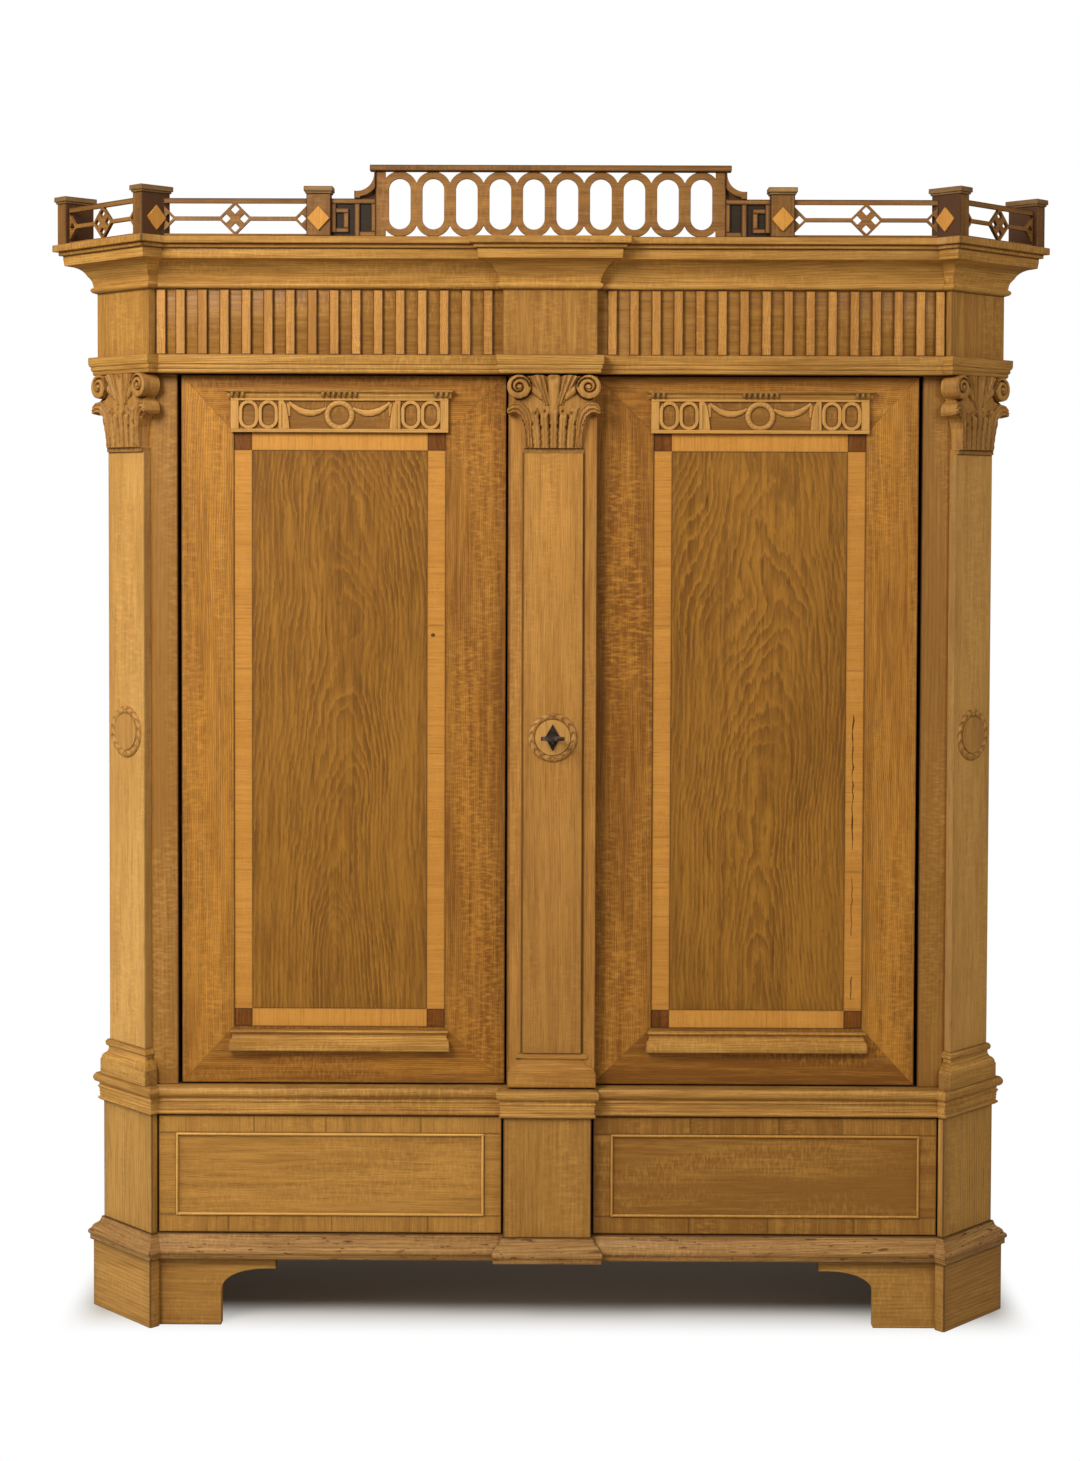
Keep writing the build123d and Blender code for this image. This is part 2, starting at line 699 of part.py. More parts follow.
def door_ornaments():
    """Returns the plaque, the small cornice and the sill of a leaf hinged at the right."""
    fret = upright_face(plaque(), (door_setback - plaque_thickness, door_setback))
    small_z = (plaque_height, plaque_height + small_cornice_height)
    small_half = plaque_half + small_cornice_reach
    small = profiled(small_half, small_cornice_spread, small_cornice_stand, small_z, small_cornice_shares)
    sill_z = (field_z[0] - sill_drop - sill_height, field_z[0] - sill_drop)
    sill = profiled(plaque_half - plaque_reach / 2, sill_spread, sill_stand, sill_z, sill_shares)
    pieces = [Pos(field_centre, 0, field_z[1]) * fret, Pos(field_centre, door_setback, field_z[1]) * small]
    return pieces + [Pos(field_centre, door_setback, 0) * sill]


for side_name, mirrored in (("right", False), ("left", True)):
    pieces = [mirror(piece, about=Plane.YZ) if mirrored else piece for piece in door_ornaments()]
    write(side_name + "_door_ornaments", *pieces)

# Centre pilaster on the right leaf: backing, raised panel, base and capital
backing_front = -2.0
panel_half = 60.0
panel_raise = 6.0
centre_base_spread = 30.0
centre_base_stand = 8.0
wreath_outer = 50.0
wreath_inner = 36.0
wreath_stand = 7.0
disc_stand = 4.0
escutcheon_half_width = 15.5
escutcheon_half_height = 27.0
escutcheon_thickness = 2.0
key_clearance = 1.0
panel_front = backing_front - panel_raise
disc_front = panel_front - disc_stand
centre_base_z = (leaf_z[0], pilaster_base_top)
centre_capital_z = (capital_bottom, leaf_z[1])
backing_x = (pilaster_x - backing_half, pilaster_x + backing_half)
panel_x = (pilaster_x - panel_half, pilaster_x + panel_half)
wide_bore = key_radius + key_clearance


backing_y = (backing_front, door_setback)
panel_y = (panel_front, backing_front)
backing = block(backing_x, backing_y, leaf_z) - keyhole(backing_y, wide_bore)
panel = block(panel_x, panel_y, (pilaster_base_top, capital_bottom)) - keyhole(panel_y, wide_bore)
centre_base = pilaster_base(panel_half, centre_base_spread, centre_base_stand, panel_raise, centre_base_z)
ring = upright_face(Circle(wreath_outer) - Circle(wreath_inner), (-wreath_stand, 0))
disc = upright_face(Circle(wreath_inner), (-disc_stand, 0))
plate = diamond(0, 0, escutcheon_half_width, escutcheon_half_height)
plate = upright_face(plate, (-escutcheon_thickness, 0))
disc = Pos(pilaster_x, panel_front, key_height) * disc - keyhole((disc_front, panel_front), wide_bore)
plate_y = (disc_front - escutcheon_thickness, disc_front)
plate = Pos(pilaster_x, disc_front, key_height) * plate - keyhole(plate_y, wide_bore)
write("door_pilaster", backing, panel, Pos(pilaster_x, panel_front) * centre_base)
write("door_capital", Pos(pilaster_x, backing_front) * capital(0, centre_capital_z))
write("keyhole_wreath", Pos(pilaster_x, panel_front, key_height) * ring, disc)
write("escutcheon", plate)

# Lock: hollow case, sliding bolt, key, and the keeper on the left leaf
case_inset = 4.0
case_length = 120.0
case_half_height = 45.0
case_depth = 20.0
case_wall = 2.0
lock_bolt_set = 1.0
lock_bolt_length = 101.0
lock_bolt_rise = 18.0
lock_bolt_height = 16.0
lock_bolt_clearance = 2.0
guide_plate = 4.0
guide_inset = 26.0
bit_reach = 13.0
bit_thickness = 3.0
bit_shortening = 2.0
collar_radius = 8.0
collar_length = 5.0
collar_gap = 2.0
neck_length = 6.0
bow_half_width = 24.0
bow_length = 32.0
bow_stroke = 6.0
bow_thickness = 7.0
keeper_length = 24.0
keeper_wall = 2.0
keeper_clearance = 2.0
case_x = (right_meeting_edge + case_inset, right_meeting_edge + case_inset + case_length)
case_y = (stile_back, stile_back + case_depth)
lock_bolt_x = (case_x[0] + lock_bolt_set, case_x[0] + lock_bolt_set + lock_bolt_length)
lock_bolt_y = inset(case_y, case_wall + lock_bolt_clearance)
lock_bolt_z = (key_height + lock_bolt_rise, key_height + lock_bolt_rise + lock_bolt_height)
guide_x = (case_x[1] - guide_inset - guide_plate, case_x[1] - guide_inset)
keeper_x = (-left_meeting_edge - keeper_length, -left_meeting_edge)
bit_y = (lock_bolt_y[0], lock_bolt_y[1] - bit_shortening)
bit_window = bit_y[1] - bit_y[0] + 2 * case_wall
case_z = (key_height - case_half_height, key_height + case_half_height)


def lock_case():
    """Returns the case: a hollow box with a plate that guides the bolt and holes for bolt and key."""
    inner = (inset(case_x, case_wall), inset(case_y, case_wall), inset(case_z, case_wall))
    case = block(case_x, case_y, case_z) - block(*inner)
    case += block(guide_x, case_y, case_z)
    slot_y, slot_z = inset(lock_bolt_y, -running_gap), inset(lock_bolt_z, -running_gap)
    case -= block((case_x[0] - overrun, lock_bolt_x[1] + running_gap), slot_y, slot_z)
    middle = Pos(pilaster_x, sum(case_y) / 2, key_height)
    case -= middle * Rot(90, 0, 0) * Cylinder(keyhole_reach, bit_window)
    return case - keyhole(case_y, key_radius + key_fit)


def key():
    """Returns the key: an oval bow lying flat, a collar, a round shaft and a flat bit."""
    collar_end = disc_front - escutcheon_thickness - collar_gap
    collar_y = (collar_end - collar_length, collar_end)
    bow_y = collar_y[0] - neck_length - bow_length / 2 + bow_stroke
    shaft = upright_face(Circle(key_radius), (collar_y[0] - neck_length, lock_bolt_y[1]))
    shaft += upright_face(Circle(collar_radius), collar_y)
    bow = Ellipse(bow_half_width, bow_length / 2)
    bow -= Ellipse(bow_half_width - bow_stroke, bow_length / 2 - bow_stroke)
    shaft += Pos(0, bow_y, -bow_thickness / 2) * extrude(bow, bow_thickness)
    shaft += block((-bit_thickness / 2, bit_thickness / 2), bit_y, (-bit_reach, 0))
    return Pos(pilaster_x, 0, key_height) * shaft


def keeper():
    """Returns the keeper box, open towards the lock."""
    pocket_y = inset(lock_bolt_y, -keeper_clearance)
    pocket_z = inset(lock_bolt_z, -keeper_clearance)
    outer_y = (stile_back, pocket_y[1] + keeper_wall)
    solid = block(keeper_x, outer_y, inset(pocket_z, -keeper_wall))
    return solid - block((keeper_x[0] + keeper_wall, keeper_x[1] + overrun), pocket_y, pocket_z)


lock_bolt = block(lock_bolt_x, lock_bolt_y, lock_bolt_z)
write("lock_case", lock_case())
write("lock_keeper", keeper())
write("lock_bolt", lock_bolt)
write("key", key())

# Left leaf: slide bolts at the top and the bottom, with their staples
bolt_length = 160.0
bolt_end_gap = 0.5
staple_height = 10.0
staple_wall = 4.0
staple_inset = 16.0
staple_spacing = 112.0
knob_radius = 5.0
knob_length = 14.0
knob_inset = 78.0


def door_bolt(end, inward):
    """Returns a slide bolt whose end lies near the given end of the leaf."""
    start = end + inward * bolt_end_gap
    z_range = sorted((start, start + inward * bolt_length))
    flat = block((-bolt_x - bolt_width / 2, -bolt_x + bolt_width / 2), bolt_y, z_range)
    knob = Pos(-bolt_x, end + inward * knob_inset) * Circle(knob_radius)
    return flat + upright_face(knob, (bolt_y[0], bolt_y[1] + knob_length))


def staples(end, inward):
    """Returns the two staples that hold a slide bolt against the leaf."""
    half = bolt_width / 2 + running_gap
    pieces = []
    for offset in (staple_inset, staple_inset + staple_spacing):
        place = end + inward * offset
        z_range = (place - staple_height / 2, place + staple_height / 2)
        channel_x = (-bolt_x - half, -bolt_x + half)
        channel_y = (stile_back - overrun, bolt_y[1] + running_gap)
        channel = block(channel_x, channel_y, inset(z_range, -overrun))
        outer_y = (stile_back, channel_y[1] + staple_wall)
        pieces.append(block(inset(channel_x, -staple_wall), outer_y, z_range) - channel)
    return pieces


write("left_door_irons", *staples(leaf_z[1], -1), *staples(leaf_z[0], 1))
write("left_top_bolt", door_bolt(leaf_z[1], -1))
write("left_bottom_bolt", door_bolt(leaf_z[0], 1))

# Entablature: architrave, frieze with raised strips, cornice and top board
architrave_shares = [(0, 0.62), (0.24, 0.66), (0.26, 0.74), (0.46, 0.78), (0.48, 0.86), (0.56, 0.9)]
architrave_shares += [(0.6, 0.96), (0.66, 1), (0.96, 1), (1, 0.96)]
bead_shares = [(0, 0.14), (0.03, 0.24), (0.08, 0.3), (0.13, 0.28), (0.17, 0.22)]
cove_bottom_share = (0.19, 0.2)
cove_top_share = (0.72, 0.86)
cove_steps = 7
fillet_shares = [(0.74, 0.97), (0.97, 1), (1, 1)]
strip_count = 16
strip_width = 20.0
strip_stand = 6.0
strip_inner_gap = 20.0
strip_outer_gap = 19.0


def cove_shares():
    """Returns the points of the cove, a quarter of an ellipse that hollows inwards."""
    (z0, p0), (z1, p1) = cove_bottom_share, cove_top_share
    turns = [math.pi / 2 * k / cove_steps for k in range(cove_steps + 1)]
    return [(z0 + (z1 - z0) * math.sin(a), p0 + (p1 - p0) * (1 - math.cos(a))) for a in turns]


frieze_z = (architrave_top, frieze_top)


def frieze_strips():
    start, end = step(frieze_projection)[0] - strip_width, notch(frieze_projection)[0] + strip_inner_gap
    pitch = (start - strip_outer_gap - strip_width - end) / (strip_count - 2)
    face_y = run_setback - frieze_projection
    strips = []
    for x in [end + k * pitch for k in range(strip_count - 1)] + [start]:
        strips.append(block((x, x + strip_width), (face_y - strip_stand, face_y), frieze_z))
    return both_sides(*strips)


architrave_levels = profile(door_zone_top, architrave_height, architrave_projection, architrave_shares)
cornice_shares = bead_shares + cove_shares() + fillet_shares
cornice_levels = profile(frieze_top, cornice_height, cornice_projection, cornice_shares)
board_points = [back_end, side_corner, tip, corner, step, notch, centre_corner]
board_outline = [point(top_board_projection) for point in board_points]
board_outline += [(-x, y) for x, y in reversed(board_outline)]
write("architrave_moulding", *moulding_ring(architrave_levels))
write("frieze_boards", *moulding_ring([(z, frieze_projection) for z in frieze_z]))
write("frieze_strips", *frieze_strips())
write("cornice_moulding", *moulding_ring(cornice_levels))
write("top_board", prism(board_outline, cornice_top, top_board_top))

# Gallery: posts on the canted returns, inner posts, lattice frets, key panels, consoles and ovals
fret_thickness = 8.0
post_width = 31.0
post_depth = 68.0
cap_overhang = 5.0
rail_thickness = 10.0
middle_rail = 8.0
low_rail = 5.0
fork_half = 26.0
fork_window_gap = 1.0
lozenge_half = 34.0
window_half = 9.0
window_offset = 18.0
inner_post_width = 48.0
key_panel_width = 88.5
inner_post_stand = 8.0
inner_post_depth = 31.0
diamond_thickness = 4.0
diamond_half_width = 22.0
diamond_half_height = 24.0
oval_count = 10
oval_pitch = 66.5
oval_half_width = 36.0
oval_height = 129.0
oval_stroke = 13.0
oval_lap = 8.0
oval_post_width = 20.0
top_rail_thickness = 12.0
top_rail_overhang = 11.0
top_rail_depth = 22.0
key_stroke = 9.0
key_thickness = 4.0
key_frame = 8.5
key_foot = 10.0
key_edge = 31.5
key_bar = 10.0
key_ring_lift = 8.0
key_ring_width = 35.0
key_ring_height = 48.0
console_width = 42.0
console_foot = 15.0
console_tip = 3.0
console_stand = 4.0
console_thickness = 20.0
console_curve_share = (0.72, 0.22)
oval_post_start = oval_pitch * (oval_count - 1) / 2 + oval_half_width - oval_lap
oval_post_x = (oval_post_start, oval_post_start + oval_post_width)
key_x = (oval_post_x[1], oval_post_x[1] + key_panel_width)
inner_post_x = (key_x[1], key_x[1] + inner_post_width)
console_x = (key_x[0], key_x[0] + console_width)
cabinet_height = top_board_top + oval_height + top_rail_thickness
gallery_y = run_setback - gallery_projection
post_top = top_board_top + post_height
rail_top = top_board_top + gallery_rail_top
gallery_middle = (top_board_top + low_rail + rail_top - rail_thickness) / 2
cant_face_half = cant_width / 2 + gallery_projection


def lattice_fret(x0, x1):
    """Returns a fret between two posts: rails, forks at the ends and a lozenge of four windows."""
    low, high = top_board_top + low_rail, rail_top - rail_thickness
    middle_x = (x0 + x1) / 2
    half = middle_rail / 2
    face = bar((x0, x1), (top_board_top, low)) + bar((x0, x1), (high, rail_top))
    reach = fork_half - half
    face += bar((x0 + reach, x1 - reach), (gallery_middle - half, gallery_middle + half))
    clip = bar((x0, x1), (top_board_top, rail_top))
    for post_x, inward in ((x0, 1), (x1, -1)):
        face += diamond(post_x, gallery_middle, fork_half, fork_half) & clip
        window_x = post_x + inward * (window_half + fork_window_gap)
        face -= diamond(window_x, gallery_middle, window_half, window_half)
    face += diamond(middle_x, gallery_middle, lozenge_half, lozenge_half) & clip
    for dx, dz in ((-1, 0), (1, 0), (0, -1), (0, 1)):
        window_x, window_z = middle_x + dx * window_offset, gallery_middle + dz * window_offset
        face -= diamond(window_x, window_z, window_half, window_half)
    return (face & clip).faces()[0]


def corner_post(s, z_range, overhang):
    """Returns a post or cap in the flat drawing of the canted corner, from s towards the middle."""
    outer, inner = s, s - math.copysign(post_width, s)
    x_range = sorted((outer + math.copysign(overhang, s), inner - math.copysign(overhang, s)))
    y_range = (-gallery_projection - overhang, -gallery_projection + post_depth + overhang)
    return block(x_range, y_range, z_range)


def gallery_posts(z_range, overhang):
    """Returns the canted posts and the inner posts, or their caps, between two heights."""
    pieces = on_corners(*[corner_post(s, z_range, overhang) for s in (-cant_face_half, cant_face_half)])
    front = gallery_y - inner_post_stand
    x_range = (inner_post_x[0] - overhang, inner_post_x[1] + overhang)
    y_range = (front - overhang, front + inner_post_depth + overhang)
    return pieces + both_sides(block(x_range, y_range, z_range))


def return_diamond():
    """Returns the light lozenge on the return of a corner post, in the flat drawing of the corner."""
    return_middle = gallery_projection - post_depth / 2
    face = diamond(return_middle, gallery_middle, diamond_half_width, diamond_half_height)
    plane = Plane(origin=(-cant_face_half, 0, 0), x_dir=(0, -1, 0), z_dir=(-1, 0, 0))
    return extrude(plane * face, diamond_thickness)


def gallery_diamonds():
    """Returns the light lozenges on the inner posts and on the returns of the corner posts."""
    middle = (inner_post_x[0] + inner_post_x[1]) / 2
    flat = diamond(middle, gallery_middle, diamond_half_width, diamond_half_height)
    front = gallery_y - inner_post_stand - diamond_thickness
    pieces = both_sides(upright_face(flat, (front, front + diamond_thickness)))
    return pieces + on_corners(return_diamond())


def gallery_frets():
    """Returns the lattice frets: one on each front run and one on each canted corner."""
    post = cant_plane * corner_post(-cant_face_half, (top_board_top, post_top), 0)
    front = upright_face(lattice_fret(inner_post_x[1], step(gallery_projection)[0]), fret_y)
    front = front - post - cant_plane * return_diamond()
    reach = cant_face_half - post_width
    cant_y = (-gallery_projection + fret_thickness, -gallery_projection + 2 * fret_thickness)
    return both_sides(front) + on_corners(upright_face(lattice_fret(-reach, reach), cant_y))


def key_panel():
    """Returns the light key pattern and its bars beside the right inner post."""
    x0, x1 = key_x
    z0, z1 = top_board_top, rail_top
    ring_x, ring_z = (x1 - key_ring_width, x1), (z0 + key_ring_lift, z0 + key_ring_lift + key_ring_height)
    face = bar((x0, x1), (z1 - rail_thickness, z1)) + bar((x0, x0 + key_edge), (z0, z0 + key_foot))
    face += bar((x0, x0 + key_frame), (z0, z1)) + bar((x0 + key_edge, x0 + key_edge + key_bar), (z0, z1))
    face += bar((x1 - key_bar, x1), (ring_z[0], z1))
    face += bar((ring_x[0], ring_x[0] + key_bar), ring_z)
    face += bar(ring_x, (ring_z[0], ring_z[0] + key_stroke))
    face += bar(ring_x, (ring_z[1] - key_stroke, ring_z[1]))
    return face


def oval(x, inset_by):
    """Returns an upright round-ended outline in front view, smaller by the given inset all round."""
    height, width = oval_height - 2 * inset_by, 2 * (oval_half_width - inset_by)
    return Pos(x, top_board_top + oval_height / 2) * SlotOverall(height, width, rotation=90)


def oval_fret():
    """Returns the fret of joined ovals with its two end posts."""
    centres = [oval_pitch * (k - (oval_count - 1) / 2) for k in range(oval_count)]
    face = bar(oval_post_x, (top_board_top, top_board_top + oval_height))
    face += mirror(face, about=Plane.YZ)
    for x in centres:
        face += oval(x, 0)
    for x in centres:
        face -= oval(x, oval_stroke)
    return upright_face(face.faces()[0], fret_y)


def console():
    """Returns the concave console beside the right end of the oval fret."""
    (x0, x1), z0, z1 = console_x, rail_top, top_board_top + oval_height
    start, end = (x1, z0 + console_foot), (x0 + console_tip, z1)
    middle = [a + (b - a) * k for a, b, k in zip(start, end, console_curve_share)]
    edges = [Line((x0, z0), (x1, z0)), Line((x1, z0), start), ThreePointArc(start, tuple(middle), end)]
    edges += [Line(end, (x0, z1)), Line((x0, z1), (x0, z0))]
    front = gallery_y - console_stand
    return upright_face(make_face(Wire(edges)), (front, front + console_thickness))



def top_rail():
    """Returns the rail over the ovals."""
    half = oval_post_x[1] + top_rail_overhang
    y0 = gallery_y - (top_rail_depth - fret_thickness) / 2
    z_range = (top_board_top + oval_height, cabinet_height)
    return block((-half, half), (y0, y0 + top_rail_depth), z_range)


fret_y = (gallery_y, gallery_y + fret_thickness)
key_y = (gallery_y, gallery_y + key_thickness)
key_backing = block(key_x, (key_y[1], key_y[1] + fret_thickness), (top_board_top, rail_top))
write("gallery_posts", *gallery_posts((top_board_top, post_top), 0))
write("gallery_post_caps", *gallery_posts((post_top, post_top + cap_thickness), cap_overhang))
write("gallery_diamonds", *gallery_diamonds())
write("gallery_frets", *gallery_frets())
write("gallery_key_panels", *both_sides(upright_face(key_panel(), key_y)))
write("gallery_key_backings", *both_sides(key_backing))
write("gallery_consoles", *both_sides(console()))
write("gallery_oval_fret", oval_fret())
write("gallery_top_rail", top_rail())
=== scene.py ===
import math
import random

import bmesh
import mathutils
import bpy
from mathutils import Matrix, Vector


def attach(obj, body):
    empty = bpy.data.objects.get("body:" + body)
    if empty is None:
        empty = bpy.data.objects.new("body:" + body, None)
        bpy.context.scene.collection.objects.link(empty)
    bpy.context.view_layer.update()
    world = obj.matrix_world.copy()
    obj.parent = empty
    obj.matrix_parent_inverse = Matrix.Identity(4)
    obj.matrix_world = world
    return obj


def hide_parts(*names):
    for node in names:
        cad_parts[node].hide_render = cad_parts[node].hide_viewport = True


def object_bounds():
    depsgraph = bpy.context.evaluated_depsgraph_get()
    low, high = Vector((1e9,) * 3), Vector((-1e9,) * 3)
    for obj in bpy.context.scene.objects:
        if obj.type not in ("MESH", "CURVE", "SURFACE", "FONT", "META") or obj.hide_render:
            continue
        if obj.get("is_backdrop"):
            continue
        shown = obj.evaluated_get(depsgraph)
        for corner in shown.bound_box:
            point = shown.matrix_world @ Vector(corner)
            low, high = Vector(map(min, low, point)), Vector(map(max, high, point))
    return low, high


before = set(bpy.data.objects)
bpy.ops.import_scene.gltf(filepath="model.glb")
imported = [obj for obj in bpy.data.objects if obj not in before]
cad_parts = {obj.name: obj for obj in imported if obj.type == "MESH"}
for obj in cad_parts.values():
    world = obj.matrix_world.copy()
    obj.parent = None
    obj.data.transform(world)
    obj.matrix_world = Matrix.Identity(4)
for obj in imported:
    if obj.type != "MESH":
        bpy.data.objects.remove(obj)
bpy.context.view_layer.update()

# Foot blocks and bracket feet: solid blocks under the canted corners, with shaped oak boards between
# them at the front and the sides, cut to an arch with a bow saw. Everything is drawn in millimetres
# with y = 0 on the line of the canted corners, and is moved to its place in metres when finished.
half_span, cant_width, body_depth = 805.0, 171.0, 580.0
run_set, centre_half, centre_step = 10.0, 89.0, 21.0
diagonal = math.sqrt(2)
cant_reach = cant_width / diagonal
tip_x, tip_y = half_span + cant_reach, cant_reach
middle_y = (body_depth - diagonal * 72.0) / 2


def back_end(p):
    return tip_x - run_set + p, body_depth


def side_corner(p):
    return tip_x - run_set + p, tip_y + run_set + (diagonal - 1) * p


def tip(p):
    return tip_x + diagonal * p, tip_y


def corner(p):
    return half_span, -diagonal * p


def front_step(p):
    return half_span - run_set - (diagonal - 1) * p, run_set - p


def notch(p):
    return centre_half + p, run_set - p


def centre_corner(p):
    return centre_half + p, run_set - centre_step - p


def left_of(point):
    return lambda p: (-point(p)[0], point(p)[1])


side_runs = [(back_end, side_corner)]
cant_runs = [(side_corner, tip), (tip, corner), (corner, front_step)]
front_runs = [(front_step, notch)]
return_runs = [(notch, centre_corner)]
cant_place = Matrix.Translation((half_span + cant_reach / 2, cant_reach / 2, 0)) @ Matrix.Rotation(math.pi / 4, 4, "Z")


class Number:
    """A socket of a finish. Arithmetic on it adds Math nodes."""

    def __init__(self, finish, socket):
        self.finish, self.socket = finish, socket

    def maths(self, operation, *values):
        return self.finish.node("Math", {"operation": operation}, dict(enumerate(values)))

    def __add__(self, other):
        return self.maths("ADD", self, other)

    def __sub__(self, other):
        return self.maths("SUBTRACT", self, other)

    def __rsub__(self, other):
        return self.maths("SUBTRACT", other, self)

    def __mul__(self, other):
        return self.maths("MULTIPLY", self, other)

    __radd__, __rmul__ = __add__, __mul__

    def step(self, low, high):
        """Rises smoothly from 0 at low to 1 at high."""
        values = {"Value": self, "From Min": low, "From Max": high}
        return self.finish.node("MapRange", {"interpolation_type": "SMOOTHSTEP"}, values)


class Finish:
    """A material while its nodes are put together."""

    def __init__(self, name):
        self.material = bpy.data.materials.new(name)
        self.material.use_nodes = True
        self.tree = self.material.node_tree
        self.shader = self.tree.nodes["Principled BSDF"]

    def node(self, kind, settings=None, inputs=None, output=0):
        """Adds a node with its settings, then the values or links of its sockets."""
        node = self.tree.nodes.new("ShaderNode" + kind)
        for key, value in (settings or {}).items():
            setattr(node, key, value)
        for key, value in (inputs or {}).items():
            self.join(node.inputs[key], value)
        return Number(self, node.outputs[output])

    def join(self, socket, value):
        if isinstance(value, Number):
            self.tree.links.new(value.socket, socket)
        else:
            socket.default_value = value

    def blend(self, share, low, high, kind="MIX"):
        """Mixes two colours by a share."""
        settings = {"data_type": "RGBA", "blend_type": kind}
        return self.node("Mix", settings, {0: share, 6: low, 7: high}, 2)

    def noise(self, place, stretch, detail=3.0, roughness=0.55, shift=0.0):
        """Noise on a place that is stretched by three numbers."""
        sized = self.node("VectorMath", {"operation": "MULTIPLY"}, {0: place, 1: stretch})
        values = {"Vector": sized, "W": shift, "Scale": 1.0, "Detail": detail, "Roughness": roughness}
        return self.node("TexNoise", {"noise_dimensions": "4D"}, values)


def colour(*rgb):
    return (*rgb, 1.0)


